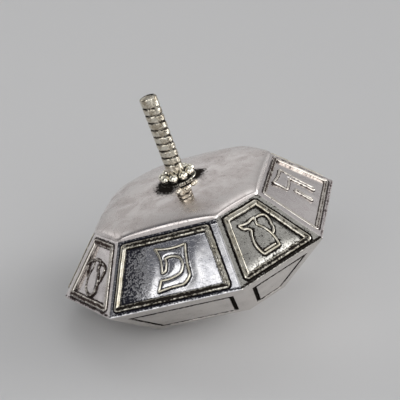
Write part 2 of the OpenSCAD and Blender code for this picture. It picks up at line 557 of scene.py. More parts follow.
class SilverTree(Wiring):
    """Material tree of a finish: clouds, speckles, scratches, and tarnish with painted shade drive colour,
    gloss and bump.
    """

    def noise(self, size: float, detail: float, stretch: tuple[float, float, float] = (1, 1, 1),
              turn: tuple[float, float, float] = (0, 0, 0), distortion: float = 0.0) -> bpy.types.NodeSocket:
        """Adds noise on the piece's own coordinates.

        Args:
            size: Size of its features in millimetres.
            detail: Octaves of finer noise in it.
            stretch: How much longer the features are along each of their axes.
            turn: Turn of those axes.
            distortion: How much the noise is warped.

        Returns:
            The noise, about one half on the whole.
        """
        scale = tuple(1 / (size * MILLIMETRE) / s for s in stretch)
        objects = self.node("ShaderNodeTexCoord").outputs["Object"]
        place = self.node("ShaderNodeMapping", {"Vector": objects, "Rotation": turn, "Scale": scale})
        return self.node("ShaderNodeTexNoise", {"Vector": place.outputs[0], "Scale": 1.0, "Detail": detail,
                                                "Roughness": 0.6, "Distortion": distortion}).outputs["Fac"]

    def ranged(self, value: bpy.types.NodeSocket, low: float, high: float, to_low: float = 0.0,
               to_high: float = 1.0) -> bpy.types.NodeSocket:
        """Maps a value smoothly from the range low to high to the range to_low to to_high."""
        return self.node("ShaderNodeMapRange", {0: value, 1: low, 2: high, 3: to_low, 4: to_high},
                         interpolation_type="SMOOTHSTEP").outputs[0]

    def mixed(self, share: Any, first: Any, second: Any) -> bpy.types.NodeSocket:
        """Mixes two colours by a share."""
        return self.node("ShaderNodeMix", {0: share, 6: first, 7: second}, data_type="RGBA").outputs[2]

    def bumped(self, depth: float, height: bpy.types.NodeSocket, **under: bpy.types.NodeSocket) -> (
            bpy.types.NodeSocket):
        """Adds a bump whose height at 1 is a depth in millimetres."""
        given = {"Strength": 1.0, "Distance": depth * MILLIMETRE, "Height": height, **under}
        return self.node("ShaderNodeBump", given).outputs[0]

    def write(self, finish: Finish) -> None:
        """Fills the tree.

        Args:
            finish: The finish that it shows.
        """
        sums, ranged = self.math, self.ranged
        clouds = self.noise(finish.cloud_size, 4.0, distortion=0.4)
        speckles = self.noise(finish.speckle_size, 5.0)
        grain = self.noise(finish.grain_size, 3.0)
        dents = self.noise(finish.dent_size, 1.0)
        first_lines = self.noise(finish.scratch_size, 2.0, stretch=(22, 1, 1), turn=(0.3, 0.5, 0.9))
        second_lines = self.noise(finish.scratch_size, 2.0, stretch=(1, 18, 1), turn=(0.8, 0.2, 2.1))
        lines = sums("MAXIMUM", ranged(first_lines, 0.6, 0.7), ranged(second_lines, 0.62, 0.72))

        # Tarnish and painted shade break up into patches at their edges. They are black and take the metal's
        # shine away.
        tarnish_and_shade_level = self.node("ShaderNodeAttribute", attribute_name="tarnish_and_shade").outputs["Fac"]
        uneven = sums("MULTIPLY", sums("SUBTRACT", speckles, 0.5), finish.patchiness)
        uneven = sums("ADD", uneven, sums("MULTIPLY", sums("SUBTRACT", clouds, 0.5), 0.7))
        stirred = sums("ADD", tarnish_and_shade_level, uneven)
        dark = sums("MULTIPLY", ranged(stirred, 0.28, 0.82), ranged(tarnish_and_shade_level, 0.0, 0.12))
        metal = sums("SUBTRACT", 1.0, sums("MULTIPLY", dark, 0.92))

        # The bare silver is tinted by dull clouds and spots.
        dullness = sums("MULTIPLY", ranged(clouds, 0.35, 0.7), finish.cloud_amount)
        spots = sums("MULTIPLY", ranged(speckles, 0.56, 0.74), finish.speckle_amount)
        plain = self.mixed(sums("ADD", dullness, spots, clamp=True), finish.silver, finish.dull)
        colour = self.mixed(dark, plain, finish.tarnish_and_shade)

        # Where the tarnish is below nought the silver is polished, so it is smoother and flatter.
        unpolished = ranged(tarnish_and_shade_level, -0.5, 0.05, 0.12, 1.0)
        rough = sums("ADD", finish.roughness, sums("MULTIPLY", dullness, finish.roughness_spread))
        rough = sums("ADD", rough, sums("MULTIPLY", lines, 0.12 * finish.scratch_amount))
        rough = sums("ADD", rough, sums("MULTIPLY", dark, 0.3), clamp=True)
        rough = sums("MULTIPLY", rough, unpolished)

        height = sums("MULTIPLY", sums("SUBTRACT", 0.0, lines), finish.scratch_amount * 0.6)
        height = sums("ADD", height, sums("MULTIPLY", grain, finish.grain_depth / finish.bump_depth))
        pits = sums("MULTIPLY", ranged(tarnish_and_shade_level, 0.15, 0.6), sums("MULTIPLY", speckles, 3.5))
        height = sums("MULTIPLY", sums("ADD", height, pits), unpolished)
        skin_bump = self.bumped(finish.bump_depth, height)
        bump = self.bumped(finish.dent_depth * 4, dents, Normal=skin_bump)

        shader = self.node("ShaderNodeBsdfPrincipled", {"Base Color": colour, "Metallic": metal,
                                                        "Roughness": rough, "Specular IOR Level": 0.0,
                                                        "Normal": bump})
        self.node("ShaderNodeOutputMaterial", {"Surface": shader.outputs[0]})


SATIN_LID = Finish("satin_lid", (0.86, 0.81, 0.79), (0.64, 0.57, 0.55), roughness=0.2,
                   roughness_spread=0.16, cloud_size=2.6, cloud_amount=0.8, speckle_size=0.28,
                   speckle_amount=0.35, dent_depth=0.0012, grain_depth=0.0003)
# Painted reflection: the front plaque's silver, dull and black are tinted blue for the bluish reflection it
# shows.
BLUE_REFLECTION_PLATE = Finish("plaque_silver_painted_blue_reflection", (0.84, 0.83, 0.84), (0.52, 0.53, 0.58), tarnish_and_shade=(0.02, 0.02, 0.028),
                    roughness=0.13, roughness_spread=0.12, cloud_size=1.6, speckle_size=0.2,
                    speckle_amount=0.5, scratch_amount=1.2, dent_depth=0.003, patchiness=2.2)
PLATE = Finish("plaque_silver", (0.83, 0.81, 0.755), (0.50, 0.49, 0.45), roughness=0.13,
               roughness_spread=0.12, cloud_size=1.2, cloud_amount=0.6, speckle_size=0.2,
               speckle_amount=0.55, scratch_amount=1.0, dent_depth=0.003, patchiness=2.3)
PALE_PLATE = Finish("pale_plaque_silver", (0.85, 0.80, 0.79), (0.66, 0.60, 0.60),
                    tarnish_and_shade=(0.052, 0.038, 0.036), roughness=0.17, roughness_spread=0.12, cloud_size=1.4,
                    cloud_amount=0.7, speckle_size=0.25, speckle_amount=0.5, dent_depth=0.002)
WIRE = Finish("wire_silver", (0.88, 0.84, 0.74), (0.55, 0.49, 0.36), roughness=0.09,
              cloud_size=0.9, cloud_amount=0.75, speckle_size=0.25, speckle_amount=0.4, dent_depth=0.003)
PALE_WIRE = Finish("pale_wire_silver", (0.88, 0.83, 0.76), (0.64, 0.57, 0.52), tarnish_and_shade=(0.052, 0.038, 0.034),
                   roughness=0.11, cloud_size=0.9, cloud_amount=0.7, speckle_size=0.25, speckle_amount=0.4,
                   dent_depth=0.003)
LOWER = Finish("lower_silver", (0.71, 0.67, 0.635), (0.53, 0.49, 0.455), roughness=0.13,
               roughness_spread=0.15)
STEM_SILVER = Finish("stem_silver", (0.76, 0.72, 0.62), (0.40, 0.34, 0.25), roughness=0.12,
                     cloud_size=0.6, cloud_amount=0.9, speckle_size=0.18, speckle_amount=0.9, dent_depth=0.01)
GRAIN_SILVER = Finish("grain_silver", (0.92, 0.89, 0.78), (0.62, 0.56, 0.40), roughness=0.07,
                      cloud_size=0.6, cloud_amount=0.5, speckle_size=0.2, speckle_amount=0.3,
                      dent_depth=0.003)


# Plates of the body

class Border(Enum):
    """The four edges of a sloping plate."""

    FOOT = "foot"
    HEAD = "head"
    LEFT = "left"
    RIGHT = "right"


@dataclass(frozen=True)
class RoundedEdge:
    """One plate's share of an edge that it rounds together with its neighbour."""

    insets: Array
    depths: Array

    @staticmethod
    def shared(turn: float, mitre: float, radius: float, steps: int = 6) -> "RoundedEdge":
        """Divides a rounded edge at the mitre between two plates.

        Args:
            turn: Angle between the outward normals of the two plates.
            mitre: Angle between this plate's inward normal and the mitre.
            radius: Radius of the rounded edge.
            steps: Steps from the flat face to the mitre.

        Returns:
            The share, from the mitre to the flat face.
        """
        reach = math.tan(turn / 2)
        low, high = 0.0, turn
        halvings = 40
        for _ in range(halvings):
            middle = (low + high) / 2
            if reach - math.sin(middle) > math.tan(mitre) * (1 - math.cos(middle)):
                low = middle
            else:
                high = middle
        angles = np.linspace(low, 0.0, steps + 1)
        return RoundedEdge(radius * (reach - np.sin(angles)), radius * (1 - np.cos(angles)))


@dataclass
class PlateBlank:
    """A sloping plate with rounded edges and mitred sides, as a grid that follows its borders."""

    side: SlopingSide
    neighbours: dict[Border, Vector]
    radii: dict[Border, float]
    thickness: float
    stations: dict[Border, Array]
    pitch: float
    least_gap: float = 0.02
    back_tarnish: float = 0.6

    def _edge(self, border: Border) -> RoundedEdge:
        """Rounded edge at one border.

        Args:
            border: The border.

        Returns:
            The plate's share of it.
        """
        side = self.side
        middle = side.middle_of_body
        lean = side.end_lean
        inward = {
            Border.FOOT: middle.y,
            Border.HEAD: side.length - middle.y,
            Border.LEFT: side.low.half_side(side.number) * math.cos(lean) - middle.y * math.sin(lean),
        }
        inward[Border.RIGHT] = inward[Border.LEFT]
        mitre = math.atan2(inward[border], -middle.z)
        turn = side.normal.angle(self.neighbours[border])
        return RoundedEdge.shared(turn, mitre, self.radii[border])

    def _stations(self, border: Border) -> tuple[Array, Array]:
        """Places of the grid's lines at one border.

        Args:
            border: The border.

        Returns:
            Their distances from the border, and the depth of the rounded edge at each.
        """
        edge = self._edge(border)
        flat = self.stations[border]
        flat = flat[flat > edge.insets[-1] + self.least_gap]
        return np.concatenate([edge.insets, flat]), np.concatenate([edge.depths, np.zeros(len(flat))])

    def build(self, relief: Callable[[Array, Array], tuple[Array, Array]]) -> Solid:
        """Builds the closed plate in the side's own place.

        Args:
            relief: Gives the height, and the tarnish and painted shade, of the face at X and Y.

        Returns:
            The plate.
        """
        side = self.side
        foot, foot_depth = self._stations(Border.FOOT)
        head, head_depth = self._stations(Border.HEAD)
        left, left_depth = self._stations(Border.LEFT)
        right, right_depth = self._stations(Border.RIGHT)
        room = side.length - head[-1] - foot[-1]
        rows = max(2, math.ceil(room / self.pitch))
        between = np.linspace(0, 1, rows + 1)[1:-1]
        y = np.concatenate([foot, foot[-1] + room * between, side.length - head[::-1]])
        row_depth = np.concatenate([foot_depth, np.zeros(len(between)), head_depth[::-1]])
        columns = max(2, math.ceil(2 * (side.half_width(side.length / 2) - left[-1]) / self.pitch))
        across = np.linspace(0, 1, columns + 1)[1:-1]
        cosine = math.cos(side.end_lean)
        half = side.half_width(y)[:, None]
        x_left = -half + left[None, :] / cosine
        x_right = half - right[None, ::-1] / cosine
        x_middle = x_left[:, -1:] + (x_right[:, :1] - x_left[:, -1:]) * across[None, :]
        x = np.hstack([x_left, x_middle, x_right])
        column_depth = np.concatenate([left_depth, np.zeros(len(across)), right_depth[::-1]])
        y = np.repeat(y[:, None], x.shape[1], axis=1)
        height, tarnish_and_shade = relief(x, y)
        z = height - row_depth[:, None] - column_depth[None, :]
        return self._closed(np.stack([x, y, z], axis=2), tarnish_and_shade)

    def _closed(self, face: Array, tarnish_and_shade: Array) -> Solid:
        """Closes the face with mitred walls and a back.

        Args:
            face: Points of the face, in rows.
            tarnish_and_shade: Tarnish and painted shade of each.

        Returns:
            The plate.
        """
        rows, columns = tarnish_and_shade.shape
        index = np.arange(rows * columns).reshape(rows, columns)
        quads = np.stack([index[:-1, :-1], index[:-1, 1:], index[1:, 1:], index[1:, :-1]], axis=2)
        faces = [tuple(quad) for quad in quads.reshape(-1, 4).tolist()]
        loop = np.concatenate([index[0, :-1], index[:-1, -1], index[-1, :0:-1], index[:0:-1, 0]])
        points = face.reshape(-1, 3)
        middle = np.array(self.side.middle_of_body)
        back = points[loop] + (middle - points[loop]) * self.thickness / -middle[2]
        start = len(points)
        hub = start + len(loop)
        for i in range(len(loop)):
            after = (i + 1) % len(loop)
            faces.append((int(loop[after]), int(loop[i]), start + i, start + after))
            faces.append((hub, start + after, start + i))
        points = np.vstack([points, back, back.mean(axis=0)[None, :]])
        values = np.concatenate([tarnish_and_shade.ravel(), np.full(len(loop) + 1, self.back_tarnish)])
        return Solid(points, faces, values)


def turned_to(number: int, direction: tuple[float, float, float]) -> Vector:
    """Turns a direction on the front side round the axis to another side."""
    return Matrix.Rotation(number * SIDE_TURN, 3, "Z") @ Vector(direction)


def upper_side(number: int) -> SlopingSide:
    """Place of a plaque."""
    return SlopingSide(GIRDLE, LID_LEVEL, number % SIDE_COUNT)


def lower_side(number: int) -> SlopingSide:
    """Place of a plate of the lower band."""
    return SlopingSide(FOOT_LEVEL, GIRDLE, number % SIDE_COUNT)


# Motifs of the plaques

@dataclass(frozen=True)
class Stroke:
    """One raised line: its points in millimetres with the bow of the stretch that follows each."""

    points: tuple[tuple[float, float, float], ...]
    closed: bool = True
    corner: float = 0.14
    least_gap: float = 0.02

    def path(self, step: float = 0.1) -> Array:
        """Points along the line, with its corners eased.

        Args:
            step: Distance between points.

        Returns:
            The points, without the first one repeated.
        """
        count = len(self.points)
        stretches = [self._stretch(i, step) for i in range(count if self.closed else count - 1)]
        pieces: list[Array] = []
        for i, stretch in enumerate(stretches):
            trimmed = self._trimmed(stretch, i > 0 or self.closed, i < len(stretches) - 1 or self.closed)
            if pieces:
                pieces.append(self._eased(pieces[-1][-1], np.array(self.points[i][:2]), trimmed[0]))
            pieces.append(trimmed)
        if self.closed:
            pieces.append(self._eased(pieces[-1][-1], np.array(self.points[0][:2]), pieces[0][0]))
        return np.vstack(pieces)

    def _stretch(self, number: int, step: float) -> Array:
        """One stretch as an arc with its bow to the left of the way it runs.

        Args:
            number: Number of the stretch.
            step: Distance between points.

        Returns:
            The points, both ends among them.
        """
        x0, y0, bow = self.points[number]
        x1, y1, _ = self.points[(number + 1) % len(self.points)]
        start, end = np.array([x0, y0]), np.array([x1, y1])
        chord = end - start
        length = float(np.hypot(*chord))
        share = np.linspace(0, 1, max(5, math.ceil(length / step)) + 1)[:, None]
        left = np.array([-chord[1], chord[0]]) / length
        return start + chord * share + left * bow * 4 * share * (1 - share)

    def _trimmed(self, stretch: Array, at_start: bool, at_end: bool) -> Array:
        """Cuts a stretch back at its corners.

        Args:
            stretch: Its points.
            at_start: Whether it starts at a corner.
            at_end: Whether it ends at one.

        Returns:
            The points that stay.
        """
        along = np.concatenate([[0], np.cumsum(np.hypot(*np.diff(stretch, axis=0).T))])
        cut = min(self.corner, along[-1] / 3)
        low = cut if at_start else 0.0
        high = along[-1] - (cut if at_end else 0.0)
        between = (along > low + self.least_gap) & (along < high - self.least_gap)
        places = np.concatenate([[low], along[between], [high]])
        return np.stack([np.interp(places, along, stretch[:, k]) for k in (0, 1)], axis=1)

    @staticmethod
    def _eased(start: Array, corner: Array, end: Array) -> Array:
        """Points of a small curve that takes a corner off."""
        share = np.linspace(0, 1, 6)[1:-1, None]
        return start * (1 - share) ** 2 + 2 * corner * share * (1 - share) + end * share**2


class Motif(Enum):
    """What stands on each plaque in raised lines: a game letter in a plain block face, a jug or a jar."""

    PE = (
        Stroke(((-1.8, 2.45, -0.25), (1.85, 2.3, -0.12), (2.0, -1.3, 0.12), (1.15, -2.25, -0.08),
                (-1.85, -2.5, -0.05), (-1.4, -1.3, -0.16), (0.9, -0.95, -0.35), (1.05, 0.85, -0.25),
                (-0.7, 1.05, 0.1), (-0.65, 0.1, 0.2), (-1.2, -0.5, -0.3))),
    )
    HEI = (
        Stroke(((-2.0, 2.55, -0.16), (2.0, 2.25, -0.1), (2.1, -2.3, 0.04), (1.5, -2.45, -0.06),
                (1.05, 0.85, 0.06), (-1.95, 0.7, -0.08))),
        Stroke(((-1.35, -0.2, -0.04), (-0.6, -0.3, -0.1), (-0.85, -2.5, 0.0), (-1.3, -2.5, -0.06))),
    )
    GIMEL = (
        Stroke(((-0.9, 2.5, -0.12), (1.0, 2.4, -0.12), (1.2, -0.8, 0.08), (1.85, -2.4, -0.06),
                (0.75, -2.45, -0.06), (0.35, -1.4, 0.08), (-1.6, -2.45, -0.06), (-1.7, -1.4, -0.1),
                (0.1, -0.5, -0.06), (0.05, 1.2, 0.04), (-1.0, 1.3, -0.06))),
    )
    NUN = (
        Stroke(((-0.9, 2.5, -0.12), (1.1, 2.4, -0.12), (1.3, -2.35, -0.12), (-1.6, -2.5, -0.06),
                (-1.45, -1.25, -0.1), (0.2, -1.2, -0.08), (0.15, 1.2, 0.04), (-1.0, 1.3, -0.06))),
    )
    JUG = (
        Stroke(((-1.05, -2.25, 0.0), (1.05, -2.25, -0.42), (0.5, 1.05, 0.06), (0.8, 1.95, -0.06),
                (-0.2, 1.75, 0.08), (-1.35, 2.05, -0.05), (-1.1, 1.3, 0.12), (-0.5, 0.85, -0.42))),
        Stroke(((-0.9, -1.88, 0.0), (0.9, -1.88, 0.0)), closed=False),
        Stroke(((0.85, 1.85, 0.7), (1.95, 0.4, 0.16), (1.3, -0.8, 0.0)), closed=False),
    )
    JAR = (
        Stroke(((-0.8, 1.75, 0.16), (0.8, 1.75, -0.12), (0.6, 0.8, 0.35), (1.1, -1.75, 0.55),
                (-1.1, -1.75, 0.35), (-0.6, 0.8, -0.12))),
        Stroke(((0.85, 1.65, 0.72), (1.75, 0.15, 0.12), (1.3, -0.45, 0.0)), closed=False),
        Stroke(((-0.85, 1.65, -0.72), (-1.75, 0.15, -0.12), (-1.3, -0.45, 0.0)), closed=False),
    )


def line_distance(x: Array, y: Array, path: Array, closed: bool) -> Array:
    """Distance of each place from a line of points.

    Args:
        x: X of the places.
        y: Y of the places.
        path: Points of the line.
        closed: Whether the line returns to its first point.

    Returns:
        The distances.
    """
    ends = np.vstack([path[1:], path[:1]]) if closed else path[1:]
    best = np.full(x.shape, np.inf)
    for start, end in zip(path, ends):
        chord = end - start
        share = ((x - start[0]) * chord[0] + (y - start[1]) * chord[1]) / max(float(chord @ chord), 1e-9)
        share = np.clip(share, 0.0, 1.0)
        best = np.minimum(best, np.hypot(x - start[0] - share * chord[0], y - start[1] - share * chord[1]))
    return best


def is_inside(x: Array, y: Array, path: Array) -> Array:
    """Whether each place lies inside a closed line, by counting crossings.

    Args:
        x: X of the places.
        y: Y of the places.
        path: Points of the line.

    Returns:
        True for each place inside.
    """
    inside = np.zeros(x.shape, bool)
    for start, end in zip(path, np.vstack([path[1:], path[:1]])):
        crosses = (start[1] > y) != (end[1] > y)
        rise = end[1] - start[1]
        at = start[0] + (y - start[1]) / (rise if rise else 1e-9) * (end[0] - start[0])
        inside ^= crosses & (x < at)
    return inside


@dataclass(frozen=True)
class ReliefWire:
    """Raised wire: a flat oval section that Geometry Nodes carry along lines in a plaque's own place."""

    width: float
    height: float
    sides: int = 14
    least_width: float = 0.35
    least_tarnish: float = 0.08

    @staticmethod
    def recipe() -> bpy.types.NodeTree:
        """Builds the tree that turns lines into wire.

        Returns:
            The tree.
        """
        recipe = Recipe("relief_wire", {"Width": "NodeSocketFloat", "Height": "NodeSocketFloat",
                                        "Sides": "NodeSocketInt", "Material": "NodeSocketMaterial"})
        curve = recipe.node("GeometryNodeMeshToCurve", {"Mesh": recipe.value("Geometry")}).outputs[0]
        upright = recipe.node("GeometryNodeSetCurveNormal", {"Curve": curve}, mode="Z_UP").outputs[0]
        circle = recipe.node("GeometryNodeCurvePrimitiveCircle", {"Resolution": recipe.value("Sides"),
                                                                  "Radius": 1.0})
        size = recipe.node("ShaderNodeCombineXYZ", {0: recipe.math("DIVIDE", recipe.value("Width"), 2.0),
                                                    1: recipe.value("Height"), 2: 1.0})
        oval = recipe.node("GeometryNodeTransform", {"Geometry": circle.outputs[0], "Scale": size.outputs[0]})
        taper = recipe.node("GeometryNodeInputNamedAttribute", {"Name": "taper"}, data_type="FLOAT")
        wire = recipe.node("GeometryNodeCurveToMesh", {"Curve": upright, "Profile Curve": oval.outputs[0],
                                                       "Scale": taper.outputs[0], "Fill Caps": True})
        return recipe.finish(wire.outputs[0])

    def along(self, paths: Sequence[tuple[Array, bool]], level: float, tree: bpy.types.NodeTree,
              material: bpy.types.Material) -> Solid:
        """Carries the wire along lines.

        Args:
            paths: Points of each line, and whether it is closed.
            level: Height of the wire's middle over the plaque's border.
            tree: The tree from recipe().
            material: The wire's finish.

        Returns:
            The wire, dark where it meets the plate.
        """
        points: list[Array] = []
        edges: list[tuple[int, int]] = []
        taper: list[Array] = []
        start = 0
        for path, closed in paths:
            count = len(path)
            points.append(np.column_stack([path, np.full(count, level)]))
            edges += [(start + i, start + i + 1) for i in range(count - 1)]
            if closed:
                edges.append((start + count - 1, start))
            from_end = np.minimum(np.arange(count), np.arange(count)[::-1])
            widening = self.least_width + (1 - self.least_width) * smooth_step(from_end, -0.5, 2.5)
            taper.append(np.ones(count) if closed else widening)
            start += count
        source = new_mesh("lines", np.vstack(points), edges, [])
        write_layer(source, "taper", np.concatenate(taper))
        mesh = run_recipe(tree, source, {"Width": self.width, "Height": self.height, "Sides": self.sides,
                                         "Material": material})
        rise = (read_points(mesh)[:, 2] - level) / self.height
        return Solid.from_mesh(mesh, self.least_tarnish + 0.9 * (1 - smooth_step(rise, 0.2, 0.75)))


@dataclass(frozen=True)
class PatinaAndShade:
    """Where a plaque is dark, by tarnish and by painted shade and painted reflection: amounts from 0 to 1,
    widths and reaches in millimetres.

    The amounts of the legs are those of the frame's right, head, left and foot; they are painted shade and
    painted reflection, set for how light falls on each leg. The head border, the left half of the field and
    the halo's shifted side are painted shade too; the moat, wall line and inner line are tarnish in the
    hollows. The fade of the left half is in shares of the field's half width, from its middle.
    """

    whole: float = 1.0
    legs: tuple[float, float, float, float] = (0.15, 0.4, 0.1, 0.5)
    leg_flank: float = 0.45
    leg_crest: float = 0.75
    leg_foot: tuple[float, float] = (0.3, 0.6)
    strokes: float = 0.0
    base: float = 0.1
    moat: float = 1.0
    inner_line: float = 0.85
    inner_width: float = 0.13
    left: float = 0.0
    left_fade: tuple[float, float] = (-0.9, -0.05)
    wall_line: float = 0.8
    wall_width: float = 0.06
    head: float = 0.2
    head_fade: float = 0.1
    foot: float = 0.62
    foot_start: tuple[float, float] = (0.1, 0.2)
    foot_end: tuple[float, float] = (0.34, 0.5)
    halo: float = 0.85
    halo_width: float = 0.1
    halo_shift: tuple[float, float] = (0.07, -0.05)

    def on_frame(self, legs: Array, foot: float, crest: float) -> Array:
        """Tarnish and painted shade along one line of the frame.

        Args:
            legs: How dark the legs are, point by point, by painted shade and painted reflection.
            foot: How near the line is to the wire's foot, from 0 to 1.
            crest: How near it is to the wire's crest.

        Returns:
            The tarnish and painted shade of each point.
        """
        least, more = self.leg_foot
        shaded = least + more * smooth_step(legs, 0.0, 0.3)
        dark = 0.05 + legs * (self.leg_flank + self.leg_crest * crest) + shaded * foot
        return np.clip(dark, 0, 1) * self.whole

    def round_stroke(self, x: Array, y: Array, near: Array, path: Array, closed: bool, width: float) -> Array:
        """Dark halo round a stroke: tarnish at its foot, with a painted shadow that makes it heavier on its
        shaded side.

        Args:
            x: X of the places.
            y: Y of the places.
            near: Their distances from the stroke's middle.
            path: Points of the stroke's middle.
            closed: Whether the stroke is closed.
            width: Its width.

        Returns:
            The tarnish and painted shadow that the halo adds.
        """
        right, up = self.halo_shift
        shaded = line_distance(x - right, y - up, path, closed)
        beside = np.maximum(np.minimum(near, shaded) - width / 2, 0) / self.halo_width
        return self.halo * np.exp(-(beside**2))


@dataclass
class Plaque:
    """One framed plaque of the upper body, with its half-round frame and its motif."""

    name: str
    number: int
    motif: Motif
    patina_and_shade: PatinaAndShade = PatinaAndShade()
    frame_shift: float = 0.0
    motif_shift: tuple[float, float] = (0.0, 0.0)
    thickness: float = 1.1
    head: float = 0.75
    ends: float = 1.05
    foot: float = 0.9
    frame_width: float = 0.7
    frame_height: float = 0.5
    frame_radius: float = 0.1
    frame_seat: float = 0.1
    least_radius: float = 0.03
    crest_sink: float = 0.07
    flatness: float = 0.7
    corner_steps: int = 5
    straight_steps: int = 24
    section_steps: int = 16
    wobbles: tuple[tuple[float, float, float], ...] = ((0.012, 0.37, 1.0), (0.008, 0.93, 2.0))
    field_depth: float = 0.25
    moat: float = 0.15
    wall: float = 0.06
    bulge: float = 0.18
    foot_fall: float = 0.0
    fall_reach: float = 1.1
    dish: float = 0.035
    dish_reach: float = 1.2
    stroke_width: float = 0.3
    stroke_height: float = 0.2
    plateau: float = 0.14
    plateau_rise: float = 0.4
    pitch: float = 0.09
    fine_pitch: float = 0.05
    coarse_pitch: float = 0.12
    radii: dict[Border, float] = field(default_factory=lambda: {
        Border.FOOT: 0.2, Border.HEAD: 0.5, Border.LEFT: 0.7, Border.RIGHT: 0.7})

    @property
    def side(self) -> SlopingSide:
        """Place of the plaque."""
        return upper_side(self.number)

    def _corners(self, inset: float) -> Array:
        """Corners of the frame's middle line, moved in by an inset.

        Args:
            inset: How far they are moved in.

        Returns:
            The corners, counter-clockwise from the right one at the foot.
        """
        side = self.side
        low = self.foot + inset
        high = side.length - self.head - inset
        corners = []
        for right, y in ((1, low), (1, high), (-1, high), (-1, low)):
            x = side.half_width(y) - (self.ends + inset) / math.cos(side.end_lean)
            corners.append((right * x + self.frame_shift, y))
        return np.array(corners)

    def _frame_outline(self, grow: float) -> Array:
        """Outline of the frame, grown out from its middle line.

        Args:
            grow: How far it is grown.

        Returns:
            Points, counter-clockwise, as many for every growth.
        """
        radius = max(self.least_radius, self.frame_radius + grow)
        lean = math.degrees(self.side.end_lean)
        turns = ((-90, lean), (lean, 90), (90, 180 - lean), (180 - lean, 270))
        arcs = []
        for corner, (low, high) in zip(self._corners(radius - grow), turns):
            angles = np.radians(np.linspace(low, high, self.corner_steps + 1))
            arcs.append(corner + radius * np.stack([np.cos(angles), np.sin(angles)], axis=1))
        share = np.linspace(0, 1, self.straight_steps + 1)[1:-1, None]
        points = []
        for arc, after in zip(arcs, arcs[1:] + arcs[:1]):
            points += [arc, arc[-1] + (after[0] - arc[-1]) * share]
        return np.vstack(points)

    def _leg_tarnish_and_shade(self) -> Array:
        """How dark the frame's legs are, by painted shade and painted reflection.

        Returns:
            A value for each point of the outline, eased from each leg to the next.
        """
        values = np.repeat(np.array(self.patina_and_shade.legs), self.corner_steps + self.straight_steps)
        values = np.roll(values, self.corner_steps // 2)
        reach = 3
        ease = np.ones(2 * reach + 1) / (2 * reach + 1)
        return np.convolve(np.concatenate([values[-reach:], values, values[:reach]]), ease, "valid")

    def _frame(self) -> Solid:
        """Frame of flattened wire: bright along two edges, dark at its foot and along its crest by tarnish
        and by painted shade that differs from leg to leg.

        Returns:
            The frame in the plaque's own place.
        """
        half = self.frame_width / 2
        spring = self.frame_height - self.field_depth - half
        below = -self.field_depth - self.frame_seat
        section = [(-half, below, 1.0, 0.0), (half, below, 1.0, 0.0)]
        for a in np.linspace(0, math.pi, self.section_steps + 1):
            crest = math.exp(-((math.cos(a) / 0.5) ** 2))
            foot = 1 - float(smooth_step(np.array(math.sin(a)), 0.15, 0.65))
            section.append((half * math.cos(a), spring + half * math.sin(a) ** self.flatness, foot, crest))
        legs = self._leg_tarnish_and_shade()
        along = np.arange(len(legs))
        uneven = np.zeros(len(legs))
        for depth, rate, phase in self.wobbles:
            uneven += depth * np.sin(along * rate + phase * self.number)
        loops = []
        for grow, level, _, crest in section:
            outline = self._frame_outline(grow)
            outward = outline - outline.mean(axis=0)
            outline = outline + outward / np.hypot(*outward.T)[:, None] * uneven[:, None]
            sunk = self.crest_sink * crest * smooth_step(legs, 0.0, 0.4)
            loops.append(np.column_stack([outline, level - sunk + uneven * 0.6]))
        tarnish_and_shade = [self.patina_and_shade.on_frame(legs, foot, crest) for _, _, foot, crest in section]
        return skin(loops, tarnish_and_shade, ring=True)

    def _frame_distance(self, x: Array, y: Array) -> Array:
        """Distance of each place outside the frame's middle line.

        Args:
            x: X of the places.
            y: Y of the places.

        Returns:
            The distances, negative inside.
        """
        corners = self._corners(self.frame_radius)
        edge = np.full(x.shape, -np.inf)
        for start, end in zip(corners, np.vstack([corners[1:], corners[:1]])):
            chord = (end - start) / np.hypot(*(end - start))
            edge = np.maximum(edge, (x - start[0]) * chord[1] - (y - start[1]) * chord[0])
        outside = line_distance(x, y, corners, closed=True)
        return np.where(edge > 0, outside, edge) - self.frame_radius

    def _motif_paths(self) -> list[tuple[Array, bool]]:
        """Lines of the motif in the plaque's own place.

        Returns:
            Points of each line, and whether it is closed.
        """
        corners = self._corners(0.0)
        middle = np.array([self.motif_shift[0], (corners[0, 1] + corners[1, 1]) / 2 + self.motif_shift[1]])
        return [(stroke.path() + middle, stroke.closed) for stroke in self.motif.value]

    def _relief(self, x: Array, y: Array) -> tuple[Array, Array]:
        """Height, tarnish and painted shade of the plaque's face.

        Args:
            x: X of the places.
            y: Y of the places.

        Returns:
            The height over the border, and the tarnish and painted shade of each place.
        """
        patina_and_shade = self.patina_and_shade
        outside = self._frame_distance(x, y)
        half = self.frame_width / 2
        wall = half + self.moat
        corners = self._corners(half)
        low, high = corners[0, 1], corners[1, 1]
        up = np.clip((y - low) / (high - low) * 2 - 1, -1, 1)
        reach = np.interp(y, [low, high], [corners[0, 0], corners[1, 0]]) - self.frame_shift
        across = np.clip((x - self.frame_shift) / reach, -1, 1)
        in_field, on_border = outside <= -half, outside >= wall
        swell = self.bulge * (1 - across**2) * (1 - up**2)
        fall = self.foot_fall * np.clip(1 - (y - low) / self.fall_reach, 0, 1) ** 2
        height = -self.field_depth * (1 - smooth_step(outside, wall - self.wall, wall))
        height += np.where(in_field, swell, 0.0) - np.where(in_field, fall, 0.0)

